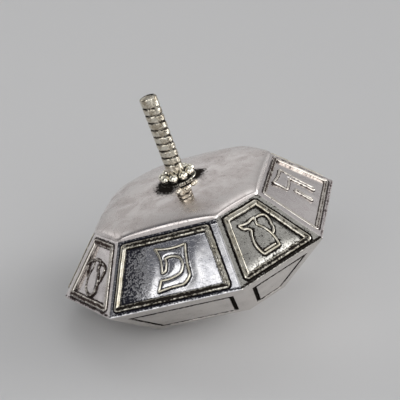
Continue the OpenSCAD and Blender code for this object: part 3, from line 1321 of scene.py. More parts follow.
        # Painted shade and painted reflection: the left half of the field and the head border are darkened
        # where the plaque looks dark under its light. The wall line, inner line and moat are tarnish in the
        # hollows; the foot band is darker along the foot border.
        wall_line = patina_and_shade.wall_line * np.exp(-(((outside - wall) / patina_and_shade.wall_width) ** 2))
        foot_band = patina_and_shade.foot * (1 - smooth_step(y, *patina_and_shade.foot_end)) * smooth_step(y, *patina_and_shade.foot_start)
        inner_line = patina_and_shade.inner_line * np.exp(-(((outside + half) / patina_and_shade.inner_width) ** 2))
        painted_left_shade = patina_and_shade.left * (1 - smooth_step(across, *patina_and_shade.left_fade))
        tarnish_and_shade = np.where(in_field | on_border, patina_and_shade.base, patina_and_shade.moat)
        tarnish_and_shade += np.where(on_border, wall_line, 0.0) + np.where(on_border, foot_band, 0.0)
        tarnish_and_shade += np.where(in_field, inner_line, 0.0) + np.where(in_field, painted_left_shade, 0.0)
        tarnish_and_shade += patina_and_shade.head * smooth_step(y, high + wall, high + wall + patina_and_shade.head_fade)

        nearest = np.full(x.shape, np.inf)
        within = np.zeros(x.shape, bool)
        for path, closed in self._motif_paths():
            near = line_distance(x, y, path, closed)
            tarnish_and_shade += patina_and_shade.round_stroke(x, y, near, path, closed, self.stroke_width)
            nearest = np.minimum(nearest, near)
            if closed:
                inside = is_inside(x, y, path)
                within |= inside
                height += np.where(inside, self.plateau * smooth_step(near, 0.0, self.plateau_rise), 0.0)
        sink = self.dish * (1 - smooth_step(nearest, 0.0, self.dish_reach))
        height -= np.where(within | ~in_field, 0.0, sink)
        return height, np.clip(tarnish_and_shade, 0, 1) * patina_and_shade.whole

    def _stations(self, middle: float) -> Array:
        """Places of the grid's lines, closer together where the frame stands.

        Args:
            middle: Distance of the frame's middle from the border.

        Returns:
            Their distances from the border.
        """
        first, room = 0.2, 0.6
        coarse = np.arange(first, middle - room, self.coarse_pitch)
        fine = np.arange(max(first / 2, middle - room), middle + room + self.fine_pitch, self.fine_pitch)
        return np.concatenate([coarse, fine])

    def build(self, tree: bpy.types.NodeTree, plate: bpy.types.Material, wire: bpy.types.Material) -> None:
        """Builds the plate, the frame and the motif, and adds them.

        Args:
            tree: The relief wire's tree.
            plate: Finish of the plate.
            wire: Finish of the frame and the motif.
        """
        side = self.side
        stations = {
            Border.FOOT: self._stations(self.foot),
            Border.HEAD: self._stations(self.head),
            Border.LEFT: self._stations(self.ends + self.frame_shift),
            Border.RIGHT: self._stations(self.ends - self.frame_shift),
        }
        neighbours = {
            Border.FOOT: lower_side(self.number).normal,
            Border.HEAD: Lid.edge_normal(self.number),
            Border.LEFT: upper_side(self.number - 1).normal,
            Border.RIGHT: upper_side(self.number + 1).normal,
        }
        blank = PlateBlank(side, neighbours, self.radii, self.thickness, stations, self.pitch)
        solid = blank.build(self._relief).placed(side.matrix)
        add_piece(make_mesh(self.name, solid, 50), plate, Slot.PLAQUE, self.name)

        short = self.name.removesuffix("_plaque")
        add_piece(make_mesh(f"{short}_frame", self._frame().placed(side.matrix), 60), wire, Slot.PLAQUE)

        stroke = ReliefWire(self.stroke_width, self.stroke_height)
        level = -self.field_depth + self.bulge * 0.6
        solid = stroke.along(self._motif_paths(), level, tree, wire).placed(side.matrix)
        solid.tarnish_and_shade = np.clip(solid.tarnish_and_shade + self.patina_and_shade.strokes, 0, 1) * self.patina_and_shade.whole
        add_piece(make_mesh(f"{short}_motif", solid, 60), wire, Slot.PLAQUE)


@dataclass
class LowerPlate:
    """One plate of the lower band, with a polished panel inside a dark groove."""

    number: int
    thickness: float = 0.9
    head: float = 1.5
    ends: float = 1.15
    foot: float = 0.9
    groove: float = 0.5
    groove_depth: float = 0.35
    wall: float = 0.04
    pitch: float = 0.5
    tarnish_and_shade: float = 0.12
    radii: dict[Border, float] = field(default_factory=lambda: {
        Border.FOOT: 0.25, Border.HEAD: 0.2, Border.LEFT: 0.3, Border.RIGHT: 0.3})

    @property
    def side(self) -> SlopingSide:
        """Place of the plate."""
        return lower_side(self.number)

    def _relief(self, x: Array, y: Array) -> tuple[Array, Array]:
        """Height and tarnish of the plate's face.

        Args:
            x: X of the places.
            y: Y of the places.

        Returns:
            The height over the border and the tarnish of each place.
        """
        side = self.side
        from_end = (side.half_width(y) - np.abs(x)) * math.cos(side.end_lean)
        inside = np.minimum(from_end - self.ends, np.minimum(y - self.foot, side.length - self.head - y))
        beyond = inside - self.groove
        sunk = smooth_step(inside, 0.0, self.wall) * (1 - smooth_step(beyond, -self.wall, 0.0))
        dark = smooth_step(inside, -0.02, 0.03) * (1 - smooth_step(beyond, -0.03, 0.04))
        return -self.groove_depth * sunk, self.tarnish_and_shade + (1 - self.tarnish_and_shade) * dark

    def _stations(self, start: float) -> Array:
        """Places of the grid's lines, close together at the groove's two walls.

        Args:
            start: Distance of the groove from the border.

        Returns:
            Their distances from the border.
        """
        beside_wall = np.array([-0.1, -0.02, 0.0, 0.013, 0.027, 0.04, 0.25])
        places = [[0.3, 0.5, 0.7], start + beside_wall, start + self.groove - beside_wall]
        return np.unique(np.round(np.concatenate(places), 4))

    def build(self, material: bpy.types.Material) -> None:
        """Builds the plate and adds it.

        Args:
            material: Its finish.
        """
        starts = {Border.FOOT: self.foot, Border.HEAD: self.head,
                  Border.LEFT: self.ends, Border.RIGHT: self.ends}
        stations = {border: self._stations(start) for border, start in starts.items()}
        neighbours = {
            Border.FOOT: Point.face_normal(self.number),
            Border.HEAD: upper_side(self.number).normal,
            Border.LEFT: lower_side(self.number - 1).normal,
            Border.RIGHT: lower_side(self.number + 1).normal,
        }
        blank = PlateBlank(self.side, neighbours, self.radii, self.thickness, stations, self.pitch)
        name = f"lower_plate_{self.number + 1}"
        solid = blank.build(self._relief).placed(self.side.matrix)
        add_piece(make_mesh(name, solid, 40), material, Slot.LOWER, name)


@dataclass
class Point:
    """Shallow pyramid that closes the bottom and ends in the tip."""

    wall: float = 0.8
    rings: int = 5
    tip: float = 0.004
    rim: float = 0.998
    hollow: float = 0.02

    @staticmethod
    def face_normal(number: int) -> Vector:
        """Outward direction of one face of the point."""
        slope = math.atan2(POINT_DEPTH, FOOT_LEVEL.apothem(number))
        return turned_to(number, (0.0, -math.sin(slope), -math.cos(slope)))

    def build(self, material: bpy.types.Material) -> None:
        """Builds the point and adds it.

        Args:
            material: Its finish.
        """
        run = FOOT_LEVEL.apothem(0)
        slope = math.atan2(POINT_DEPTH, run)
        from_middle = run * math.sin(slope) - FOOT_LEVEL.height * math.cos(slope)
        kept = 1 - self.wall / from_middle
        angles = octagon_angles(FOOT_LEVEL, 6)
        reach = FOOT_LEVEL.reach(angles)
        rows = [(share, share, 0.15, 1.0) for share in np.linspace(self.tip, 0.99, self.rings)]
        rows += [(self.rim, 0.999, 0.5, 1.0), (self.rim, self.rim, 0.7, kept),
                 (self.hollow, self.hollow, 0.7, kept)]
        loops = [octagon_loop(angles, reach * share, POINT_DEPTH * rise - TIP_DEPTH) * size
                 for share, rise, _, size in rows]
        solid = skin(loops, [tarnish_and_shade for _, _, tarnish_and_shade, _ in rows])
        add_piece(make_mesh("point", solid, 12), material, Slot.LOWER, "point")


def octagon_angles(level: Level, steps: int) -> Array:
    """Angles round the axis that meet the level's corners, counted from the front side's middle.

    Args:
        level: The level.
        steps: Steps of each side.

    Returns:
        The angles, rising.
    """
    half = level.corner_angle()
    angles = []
    for number in range(SIDE_COUNT):
        spread = half if number % 2 == 0 else SIDE_TURN - half
        ends = math.tan(spread) * np.linspace(-1, 1, steps + 1)[:-1]
        angles.append(number * SIDE_TURN + np.arctan(ends))
    return np.concatenate(angles)


def octagon_loop(angles: Array, radii: Array | float, heights: Array | float) -> Array:
    """Points round the axis, counter-clockwise seen from above.

    Args:
        angles: Their angles, counted from the front.
        radii: Their distances from the axis.
        heights: Their heights.

    Returns:
        The points.
    """
    radii = np.broadcast_to(radii, angles.shape)
    return np.stack([radii * np.sin(angles), -radii * np.cos(angles),
                     np.broadcast_to(heights, angles.shape)], axis=1)


# Lid, collar and stem

@dataclass
class Lid:
    """Domed lid, raised by Geometry Nodes over the eight sides of its edge."""

    thickness: float = 0.7
    crown: float = 1.85
    fullness: float = 0.22
    hole: float = 1.07
    # The dark patch round the collar is tarnish and painted shade; the darkening along the edge is painted
    # shade.
    dark_patch_reach: tuple[tuple[float, float], ...] = (
        (-180, 2.4), (-130, 2.4), (-85, 2.5), (-45, 3.1), (-10, 3.9), (4, 3.8), (12, 2.9),
        (22, 2.2), (52, 2.2), (66, 2.9), (100, 3.2), (125, 2.8), (180, 2.4))
    edge_shade: tuple[float, ...] = (0.05, 0.0, 0.1, 0.2, 0.2, 0.2, 0.2, 0.1)
    reflection_angle: float = 25.0
    base_tarnish: float = 0.15
    polish: float = 0.75
    polish_ends: tuple[float, float] = (6.0, 9.0)
    polish_sides: tuple[float, float] = (0.9, 1.9)
    patch: float = 1.4
    patch_fade: tuple[float, float] = (-1.4, 1.0)
    ripples: tuple[tuple[float, float, float], ...] = ((0.12, 7, 0), (0.08, 13, 40))
    edge_fade: tuple[float, float] = (0.38, 0.5)
    sides_steps: int = 16
    shares: tuple[float, ...] = (
        0.0, 0.05, 0.1, 0.16, 0.22, 0.28, 0.34, 0.4, 0.46, 0.52, 0.58, 0.64, 0.69, 0.74, 0.78, 0.82, 0.855,
        0.885, 0.91, 0.933, 0.95, 0.964, 0.976, 0.985, 0.991, 0.995, 0.998, 1.0)

    @staticmethod
    def edge_normal(number: int) -> Vector:
        """Outward direction of the lid just inside one side of its edge."""
        slope = math.radians(24)
        return turned_to(number, (0.0, -math.sin(slope), math.cos(slope)))

    @staticmethod
    def recipe() -> bpy.types.NodeTree:
        """Builds the tree that raises each point by the room it has to all eight sides.

        Returns:
            The tree.
        """
        recipe = Recipe("crowned_lid", {"Crown": "NodeSocketFloat", "Fullness": "NodeSocketFloat",
                                        "Wide Reach": "NodeSocketFloat", "Narrow Reach": "NodeSocketFloat",
                                        "Material": "NodeSocketMaterial"})
        plan = recipe.node("GeometryNodeInputNamedAttribute", {"Name": "plan"}, data_type="FLOAT_VECTOR")
        room: Any = 1.0
        for number in range(SIDE_COUNT):
            outward = turned_to(number, (0.0, -1.0, 0.0))
            toward = recipe.node("ShaderNodeVectorMath", {0: plan.outputs[0], 1: outward},
                                 operation="DOT_PRODUCT").outputs["Value"]
            reach = recipe.value("Narrow Reach" if number % 2 else "Wide Reach")
            used = recipe.math("DIVIDE", toward, reach)
            left = recipe.math("MAXIMUM", recipe.math("SUBTRACT", 1.0, used), 0.0)
            room = recipe.math("MULTIPLY", room, left)
        share = recipe.math("POWER", room, recipe.value("Fullness"))
        rise = recipe.math("MULTIPLY", share, recipe.value("Crown"))
        offset = recipe.node("ShaderNodeCombineXYZ", {2: rise}).outputs[0]
        raised = recipe.node("GeometryNodeSetPosition", {"Geometry": recipe.value("Geometry"),
                                                         "Offset": offset})
        return recipe.finish(raised.outputs[0])

    def rise(self, x: float, y: float) -> float:
        """Height of the dome over the lid's edge, by the same rule as the nodes.

        Args:
            x: X on the upright body.
            y: Y on the upright body.

        Returns:
            The height.
        """
        room = 1.0
        for number in range(SIDE_COUNT):
            turn = number * SIDE_TURN
            toward = x * math.sin(turn) - y * math.cos(turn)
            room *= max(0.0, 1 - toward / LID_LEVEL.apothem(number))
        return self.crown * room**self.fullness

    def build(self, material: bpy.types.Material) -> None:
        """Builds the lid and adds it.

        Args:
            material: Its finish.
        """
        angles = octagon_angles(LID_LEVEL, self.sides_steps)
        edge = LID_LEVEL.reach(angles)
        kept = 1 - self.thickness / LID_LEVEL.height
        plans = [octagon_loop(angles, self.hole + (edge - self.hole) * share, 0.0) for share in self.shares]
        height = LID_LEVEL.height
        under = [plan * (kept, kept, 0) + (0, 0, height - self.thickness) for plan in plans]
        outer = [plan + (0, 0, height) for plan in plans[::-1]]
        top_tarnish_and_shade = [self._tarnish_and_shade(plan) for plan in plans[::-1]]
        solid = skin(under + outer, [0.7] * len(under) + top_tarnish_and_shade, ring=True)
        source = new_mesh("lid_blank", solid.points, [], solid.faces)
        write_layer(source, "plan", np.vstack(plans + plans[::-1]))
        mesh = run_recipe(self.recipe(), source, {
            "Crown": self.crown, "Fullness": self.fullness, "Wide Reach": LID_LEVEL.apothem(0),
            "Narrow Reach": LID_LEVEL.apothem(1), "Material": material})
        raised = Solid.from_mesh(mesh, solid.tarnish_and_shade)
        add_piece(make_mesh("lid", raised, 50), material, Slot.LID, "lid")

    def _tarnish_and_shade(self, plan: Array) -> Array:
        """Tarnish and painted shade round the collar, and painted shade along the lid's edge. Below nought
        the silver is polished.

        Args:
            plan: Places on the lid, seen from above.

        Returns:
            The tarnish and painted shade of each place.
        """
        radius = np.hypot(plan[:, 0], plan[:, 1])
        angle = np.degrees(np.arctan2(plan[:, 0], -plan[:, 1]))
        reach = np.interp(angle, *zip(*self.dark_patch_reach))
        for depth, waves, start in self.ripples:
            reach += depth * np.sin(np.radians(angle * waves + start))
        # Dark patch round the collar: tarnish and painted shade.
        near, far = self.patch_fade
        patch = 1 - smooth_step(radius, reach + near, reach + far)
        aside = np.radians(angle - self.reflection_angle)
        off_line = np.abs(np.sin(aside)) * radius
        polish = 1 - smooth_step(radius, *self.polish_ends)
        polish *= 1 - smooth_step(off_line, *self.polish_sides)
        polish *= np.cos(aside) > 0
        room = np.array([self.rise(x, y) for x, y, _ in plan]) / self.crown
        # Painted shade along the edge, heavier on the sides at the back.
        side = np.round(np.radians(angle) / SIDE_TURN).astype(int) % SIDE_COUNT
        edge = np.array(self.edge_shade)[side] * (1 - smooth_step(room, *self.edge_fade))
        return np.clip(self.base_tarnish - self.polish * polish + self.patch * patch + edge, -0.6, 1)


@dataclass
class Collar:
    """Thin round plate and the ring of grains on it."""

    lid: Lid
    stem_radius: float = 1.05
    grain_count: int = 9
    grain_size: float = 1.12
    grain_gap: float = 0.1
    grain_space: float = 0.01
    overhang: float = 0.08
    thickness: float = 0.25
    rim_ease: float = 0.08
    stem_room: float = 0.02
    plate_steps: int = 72
    seat_cut: float = 0.03
    seed: int = 7

    @property
    def ring_radius(self) -> float:
        """Distance of the grains' middles from the axis.

        Returns:
            The distance at which they clear the stem and each other.
        """
        beside_stem = self.stem_radius + self.grain_gap + self.grain_size / 2
        beside_each_other = (self.grain_size + self.grain_space) / (2 * math.sin(math.pi / self.grain_count))
        return max(beside_stem, beside_each_other)

    @property
    def plate_radius(self) -> float:
        """Radius of the collar plate."""
        return self.ring_radius + self.grain_size / 2 - self.overhang

    @property
    def seat(self) -> float:
        """Height of the collar plate's underside."""
        return LID_LEVEL.height + self.lid.rise(0.0, -self.plate_radius) - self.seat_cut

    def build_plate(self, material: bpy.types.Material) -> None:
        """Builds the collar plate and adds it.

        Args:
            material: Its finish.
        """
        angles = np.linspace(0, 2 * math.pi, self.plate_steps, endpoint=False)
        inner, outer = self.stem_radius + self.stem_room, self.plate_radius - self.rim_ease
        low, half = self.seat, self.thickness / 2
        section = [(inner, low + self.thickness), (inner, low), (outer, low)]
        turned = np.linspace(-math.pi / 2, math.pi / 2, 9)[1:]
        section += [(outer + self.rim_ease * math.cos(a), low + half + half * math.sin(a)) for a in turned]
        # Painted shade with tarnish: the rim is darker toward the front left, and darker above and below its
        # outer line.
        shade = 0.3 * np.cos(angles - math.radians(-40))
        tarnish_and_shade = [np.full(len(angles), 0.9)] * 3
        tarnish_and_shade += [np.clip(0.8 - 0.3 * math.cos(a) + shade, 0, 1) for a in turned]
        loops = [octagon_loop(angles, radius, height) for radius, height in section]
        solid = skin(loops, tarnish_and_shade, ring=True)
        add_piece(make_mesh("collar_plate", solid, 40), material, Slot.GRAIN, "collar_plate")

    @staticmethod
    def recipe() -> bpy.types.NodeTree:
        """Builds the tree that sets grains round a ring, each a little turned and uneven.

        Returns:
            The tree.
        """
        recipe = Recipe("grain_ring", {
            "Count": "NodeSocketInt", "Ring Radius": "NodeSocketFloat", "Grain Size": "NodeSocketFloat",
            "Height": "NodeSocketFloat", "Seed": "NodeSocketInt", "Material": "NodeSocketMaterial"})
        ring = recipe.node("GeometryNodeMeshCircle", {"Vertices": recipe.value("Count"),
                                                      "Radius": recipe.value("Ring Radius")})
        place = recipe.node("ShaderNodeCombineXYZ", {2: recipe.value("Height")})
        laid = recipe.node("GeometryNodeTransform", {
            "Geometry": ring.outputs[0], "Translation": place.outputs[0],
            "Rotation": (0.0, 0.0, -math.pi / 2)})
        radius = recipe.math("DIVIDE", recipe.value("Grain Size"), 2.0)
        grain = recipe.node("GeometryNodeMeshUVSphere", {"Segments": 40, "Rings": 24, "Radius": radius})
        seed = recipe.value("Seed")
        size = recipe.node("FunctionNodeRandomValue", {2: 0.95, 3: 1.0, "Seed": seed}, data_type="FLOAT")
        tilt = recipe.node("FunctionNodeRandomValue", {
            0: (-0.5, -0.5, 0.0), 1: (0.5, 0.5, 6.0), "Seed": seed}, data_type="FLOAT_VECTOR")
        set_out = recipe.node("GeometryNodeInstanceOnPoints", {
            "Points": laid.outputs[0], "Instance": grain.outputs[0], "Rotation": tilt.outputs[0],
            "Scale": size.outputs["Value"]})
        return recipe.finish(set_out.outputs[0])

    def build_grains(self, material: bpy.types.Material) -> None:
        """Builds the ring of grains and adds it.

        Args:
            material: Its finish.
        """
        height = self.seat + self.thickness + self.grain_size / 2
        mesh = run_recipe(self.recipe(), bpy.data.meshes.new("ring"), {
            "Count": self.grain_count, "Ring Radius": self.ring_radius, "Grain Size": self.grain_size,
            "Height": height, "Seed": self.seed, "Material": material})
        places = read_points(mesh)
        fall = (height - places[:, 2]) / (self.grain_size / 2)
        inward = self.ring_radius - np.hypot(places[:, 0], places[:, 1])
        angle = np.arctan2(places[:, 0], -places[:, 1]) / (2 * math.pi) * self.grain_count
        between = np.abs(angle - np.round(angle)) * 2
        # Painted shade: the grains are darker on their lower half and on the side toward the stem; where they
        # touch, the darkening is tarnish and painted shade.
        tarnish_and_shade = 0.06 + 0.9 * smooth_step(fall, 0.1, 0.9)
        tarnish_and_shade += 0.8 * smooth_step(inward / self.grain_size, 0.15, 0.45)
        tarnish_and_shade += 0.8 * smooth_step(between, 0.8, 0.98)
        solid = Solid.from_mesh(mesh, np.clip(tarnish_and_shade, 0, 1))
        add_piece(make_mesh("collar_grains", solid, 60), material, Slot.GRAIN, "collar_grains")


@dataclass
class Stem:
    """Stem of round wire with a groove cut round its grip and a softened end."""

    lid: Lid
    radius: float = 1.05
    height: float = 10.85
    tail: float = 0.8
    pitch: float = 0.9
    groove_width: float = 0.32
    groove_depth: float = 0.1
    turns: int = 9
    first_groove: float = 1.2
    groove_lift: float = 0.25
    end_rise: float = 0.16
    end_ease: float = 0.3
    sides: int = 80
    steps: int = 300

    @staticmethod
    def recipe() -> bpy.types.NodeTree:
        """Builds the tree that cuts a groove round a rod and softens its end.

        Returns:
            The tree.
        """
        labels = ("Radius", "Length", "Pitch", "Groove Width", "Groove Depth", "Groove Low", "Groove High",
                  "End Rise", "End Ease")
        kinds = {label: "NodeSocketFloat" for label in labels}
        recipe = Recipe("grooved_stem", {**kinds, "Sides": "NodeSocketInt", "Steps": "NodeSocketInt",
                                         "Material": "NodeSocketMaterial"})
        value = recipe.value
        sums = recipe.math
        run_in = 0.3
        narrowing = 0.75
        whole_turns = 20.0
        hair = 0.0001
        rod = recipe.node("GeometryNodeMeshCylinder", {
            "Vertices": value("Sides"), "Side Segments": value("Steps"), "Fill Segments": 8,
            "Radius": value("Radius"), "Depth": value("Length")}, fill_type="TRIANGLE_FAN")
        place = recipe.node("ShaderNodeSeparateXYZ", {0: recipe.node("GeometryNodeInputPosition").outputs[0]})
        x, y, z = place.outputs
        above = sums("ADD", z, sums("DIVIDE", value("Length"), 2.0))
        out = sums("DIVIDE", sums("SQRT", sums("ADD", sums("MULTIPLY", x, x), sums("MULTIPLY", y, y))),
                   value("Radius"))
        turned = sums("DIVIDE", sums("ARCTAN2", x, sums("MULTIPLY", y, -1.0)), 2 * math.pi)
        climbed = sums("DIVIDE", sums("SUBTRACT", above, value("Groove Low")), value("Pitch"))
        phase = sums("FRACT", sums("ADD", sums("ADD", climbed, turned), whole_turns))
        off_middle = sums("MULTIPLY", sums("ABSOLUTE", sums("SUBTRACT", phase, 0.5)), value("Pitch"))
        near = sums("SUBTRACT", 1.0, sums("DIVIDE", off_middle, sums("DIVIDE", value("Groove Width"), 2.0)),
                    clamp=True)
        shaped = sums("SQRT", near)
        enters = sums("DIVIDE", sums("SUBTRACT", above, value("Groove Low")), run_in, clamp=True)
        leaves = sums("DIVIDE", sums("SUBTRACT", value("Groove High"), above), run_in, clamp=True)
        groove = sums("MULTIPLY", shaped, sums("MULTIPLY", enters, leaves))
        to_top = sums("SUBTRACT", value("Length"), above)
        into_end = sums("SUBTRACT", 1.0, sums("DIVIDE", to_top, value("End Ease")), clamp=True)
        arc = sums("SUBTRACT", 1.0, sums("SQRT", sums("SUBTRACT", 1.0, sums("MULTIPLY", into_end, into_end))))
        narrowed = sums("MULTIPLY", arc, sums("MULTIPLY", value("End Ease"), narrowing))
        cut = sums("ADD", sums("MULTIPLY", groove, value("Groove Depth")), narrowed)
        factor = sums("SUBTRACT", 1.0, sums("DIVIDE", cut, value("Radius")))
        at_top = sums("GREATER_THAN", above, sums("SUBTRACT", value("Length"), hair))
        dome = sums("MULTIPLY", sums("SUBTRACT", 1.0, sums("MULTIPLY", out, out)), value("End Rise"))
        lifted = sums("ADD", above, sums("MULTIPLY", dome, at_top))
        moved = recipe.node("ShaderNodeCombineXYZ", {0: sums("MULTIPLY", x, factor),
                                                     1: sums("MULTIPLY", y, factor), 2: lifted})
        shape = recipe.node("GeometryNodeStoreNamedAttribute", {
            "Geometry": rod.outputs[0], "Name": "groove", "Value": groove}, data_type="FLOAT", domain="POINT")
        shape = recipe.node("GeometryNodeSetPosition", {"Geometry": shape.outputs[0],
                                                        "Position": moved.outputs[0]})
        return recipe.finish(shape.outputs[0])

    def build(self, material: bpy.types.Material) -> None:
        """Builds the stem and adds it.

        Args:
            material: Its finish.
        """
        crown = LID_LEVEL.height + self.lid.crown
        low = crown - self.lid.thickness - self.tail
        top = crown + self.height
        length = top - low - self.end_rise
        groove_top = length + self.end_rise - self.first_groove + self.groove_lift
        mesh = run_recipe(self.recipe(), bpy.data.meshes.new("rod"), {
            "Radius": self.radius, "Length": length, "Pitch": self.pitch, "Groove Width": self.groove_width,
            "Groove Depth": self.groove_depth, "Groove Low": groove_top - self.turns * self.pitch,
            "Groove High": groove_top, "End Rise": self.end_rise, "End Ease": self.end_ease,
            "Sides": self.sides, "Steps": self.steps, "Material": material})
        groove = read_layer(mesh, "groove")
        solid = Solid.from_mesh(mesh, groove)
        solid.points[:, 2] += low
        x, y, z = solid.points.T
        # Painted shade: the groove is darker toward the left, the end darker on its back half and the foot
        # dark where it stands in the collar. The right side is darkened by speckled tarnish and by painted
        # shade that dims its highlight.
        angle = np.degrees(np.arctan2(x, -y))
        shade = 0.35 + 0.65 * np.cos(np.radians(angle + 75)).clip(0, 1)
        right_side_tarnish_and_shade = 0.3 * np.cos(np.radians(angle - 75)).clip(0, 1)
        end_shade = 0.5 * smooth_step(z, top - 0.2, top - 0.1) * (y > -0.2)
        foot_shade = 1 - smooth_step(z, crown + 0.7, crown + 1.5)
        solid.tarnish_and_shade = np.maximum(np.clip(0.16 + groove * shade + end_shade + right_side_tarnish_and_shade, 0, 1), foot_shade)
        add_piece(make_mesh("stem", solid, 60), material, Slot.STEM, "stem")


# Studio

def sky_direction(azimuth: float, elevation: float) -> Vector:
    """Direction in the sky.

    Args:
        azimuth: In degrees: 0 is behind the top, 90 to its right.
        elevation: In degrees over the floor.

    Returns:
        The direction.
    """
    a, e = math.radians(azimuth), math.radians(elevation)
    return Vector((math.sin(a) * math.cos(e), math.cos(a) * math.cos(e), math.sin(e)))


@dataclass(frozen=True)
class Glow:
    """Soft patch of light on the room's walls or ceiling."""

    azimuth: float
    elevation: float
    spread: float
    strength: float
    colour: tuple[float, float, float] = (1.0, 1.0, 1.0)

    @property
    def sharpness(self) -> float:
        """How fast the patch fades, from its spread in degrees."""
        return 1 / math.radians(self.spread) ** 2


@dataclass(frozen=True)
class Softbox:
    """One soft rectangular lamp that faces the top."""

    name: str
    azimuth: float
    elevation: float
    distance: float
    size: tuple[float, float]
    radiance: float
    target: tuple[float, float, float] = (0.0, 0.0, 0.01)

    def build(self) -> None:
        """Adds the lamp."""
        lamp = bpy.data.lights.new(self.name, "AREA")
        lamp.shape = "RECTANGLE"
        lamp.size, lamp.size_y = self.size
        lamp.energy = self.radiance * math.pi * self.size[0] * self.size[1]
        holder = put_in_scene(self.name, lamp)
        away = sky_direction(self.azimuth, self.elevation)
        holder.location = Vector(self.target) + away * self.distance
        holder.rotation_euler = (-away).to_track_quat("-Z", "Y").to_euler()


@dataclass
class Studio:
    """Pale floor, soft light and the camera that looks as the photograph does."""

    floor_colour: tuple[float, float, float] = (0.62, 0.62, 0.625)
    floor_side: float = 3.0
    azimuth: float = 11.24
    elevation: float = 25.05
    roll: float = -1.57
    distance: float = 0.1332
    aim: tuple[float, float, float] = (0.003065, 0.003405, 0.012)
    focal_length: float = 98.1
    base: float = 0.015
    floor_drop: float = 0.00002
    glows: tuple[Glow, ...] = (
        Glow(65, 12, 16, 5.5),
        Glow(140, 20, 16, 2.5),
        Glow(-20, 12, 18, 0.45),
        Glow(10, 15, 18, 0.22),
        Glow(0, 65, 16, 1.05),
        Glow(90, 66, 12, 0.16),
        Glow(109, 44, 8, 1.6),
        Glow(-29, 19, 12, 0.16),
        Glow(-60, 45, 14, 0.12),
        Glow(-70, 19, 13, 1.1),
        Glow(-175, 60, 12, 0.75),
        Glow(-115, 45, 10, 0.1, (0.88, 0.92, 1.12)),
        Glow(-156, 10, 12, 1.8),
    )
    lamps: tuple[Softbox, ...] = (
        Softbox("front_softbox", -163, 40, 0.5, (0.4, 0.25), 1.3),
    )

    def build_floor(self) -> None:
        """Adds the pale floor."""
        half = self.floor_side / 2
        corners = np.array([(-half, -half, 0), (half, -half, 0), (half, half, 0), (-half, half, 0)])
        mesh = new_mesh("floor", corners, [], [(0, 1, 2, 3)])
        material = bpy.data.materials.new("floor")
        material.use_nodes = True
        shader = material.node_tree.nodes["Principled BSDF"]
        shader.inputs["Base Color"].default_value = (*self.floor_colour, 1.0)
        shader.inputs["Roughness"].default_value = 0.9
        shader.inputs["Specular IOR Level"].default_value = 0.1
        mesh.materials.append(material)
        floor = put_in_scene("floor", mesh)
        floor.location.z = -self.floor_drop

    def build_world(self) -> None:
        """Adds the soft light of the room."""
        world = bpy.data.worlds.new("room")
        bpy.context.scene.world = world
        world.use_nodes = True
        world.node_tree.nodes.clear()
        room = Wiring(world.node_tree)
        toward = room.node("ShaderNodeTexCoord").outputs["Generated"]
        total: Any = (self.base, self.base, self.base)
        for glow in self.glows:
            middle = sky_direction(glow.azimuth, glow.elevation)
            dot = room.node("ShaderNodeVectorMath", {0: toward, 1: middle}, operation="DOT_PRODUCT")
            fade = room.math("MULTIPLY_ADD", dot.outputs["Value"], glow.sharpness, -glow.sharpness)
            light = room.math("EXPONENT", fade)
            tint = [glow.strength * value for value in glow.colour]
            total = room.node("ShaderNodeVectorMath", {0: light, 1: tint, 2: total}, operation="MULTIPLY_ADD",
                              name=f"glow_{glow.azimuth}_{glow.elevation}").outputs[0]
        back = room.node("ShaderNodeBackground", {"Color": total})
        room.node("ShaderNodeOutputWorld", {0: back.outputs[0]})

    def build_camera(self) -> None:
        """Adds the camera at the photograph's viewing angle."""
        view = sky_direction(-self.azimuth, -self.elevation)
        turn = view.to_track_quat("-Z", "Y").to_matrix().to_4x4()
        turn = turn @ Matrix.Rotation(math.radians(self.roll), 4, "Z")
        lens = bpy.data.cameras.new("camera")
        lens.lens = self.focal_length
        lens.sensor_width = 36
        lens.clip_start = 0.005
        camera = put_in_scene("camera", lens)
        camera.matrix_world = Matrix.Translation(Vector(self.aim) - view * self.distance) @ turn
        bpy.context.scene.camera = camera

    def build(self) -> None:
        """Sets the whole studio up."""
        self.build_floor()
        self.build_world()
        for lamp in self.lamps:
            lamp.build()
        self.build_camera()
        bpy.context.scene.view_settings.view_transform = "Standard"


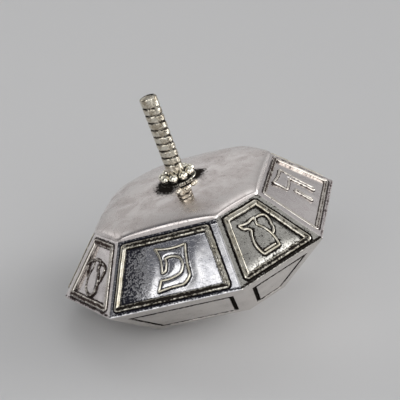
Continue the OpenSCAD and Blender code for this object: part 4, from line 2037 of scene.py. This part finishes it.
def main() -> None:
    """Builds the top and its studio, and reports each piece."""
    logging.basicConfig(level=logging.INFO, format="%(name)s: %(message)s")
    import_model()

    satin = SATIN_LID.material()
    cool = BLUE_REFLECTION_PLATE.material(), WIRE.material()
    bright = PLATE.material(), cool[1]
    pale = PALE_PLATE.material(), PALE_WIRE.material()
    lower = LOWER.material()
    rod = STEM_SILVER.material()
    grain = GRAIN_SILVER.material()

    lid = Lid()
    lid.build(satin)
    tree = ReliefWire.recipe()
    # Each plaque's darkness settings hold painted shade and painted reflection as well as tarnish: legs, head
    # border and left half of the field are darkened on the sides that look dark under the light.
    plaques = (
        (Plaque("pe_plaque", 0, Motif.PE,
                PatinaAndShade(legs=(0.45, 0.75, 0.0, 0.95), head=0.75, left=0.72, base=0.06),
                frame_shift=-0.25, motif_shift=(0.15, 0.0)), cool),
        (Plaque("jug_plaque_1", 1, Motif.JUG,
                PatinaAndShade(legs=(0.5, 0.35, 0.4, 0.75), base=0.36, inner_line=0.5),
                motif_shift=(0.05, 0.05), foot_fall=0.1), bright),
        (Plaque("hei_plaque", 2, Motif.HEI,
                PatinaAndShade(0.85, (0.0, 1.0, 0.1, 0.7), inner_line=0.1, moat=0.45),
                frame_shift=0.25, motif_shift=(1.0, 0.3), frame_width=0.48, frame_height=0.31), pale),
        (Plaque("jar_plaque_1", 3, Motif.JAR), bright),
        (Plaque("gimel_plaque", 4, Motif.GIMEL), bright),
        (Plaque("jug_plaque_2", 5, Motif.JUG), bright),
        (Plaque("nun_plaque", 6, Motif.NUN), bright),
        (Plaque("jar_plaque_2", 7, Motif.JAR,
                PatinaAndShade(0.9, (0.4, 0.95, 0.05, 0.9), head=0.1, inner_line=0.85, moat=0.6, strokes=0.6),
                motif_shift=(-0.35, -0.45)), pale),
    )
    for plaque, (plate, wire) in plaques:
        plaque.build(tree, plate, wire)
    for number in range(SIDE_COUNT):
        LowerPlate(number).build(lower)
    Point().build(lower)
    collar = Collar(lid)
    collar.build_plate(grain)
    collar.build_grains(grain)
    Stem(lid).build(rod)
    Studio().build()


if __name__ == "__main__":
    main()
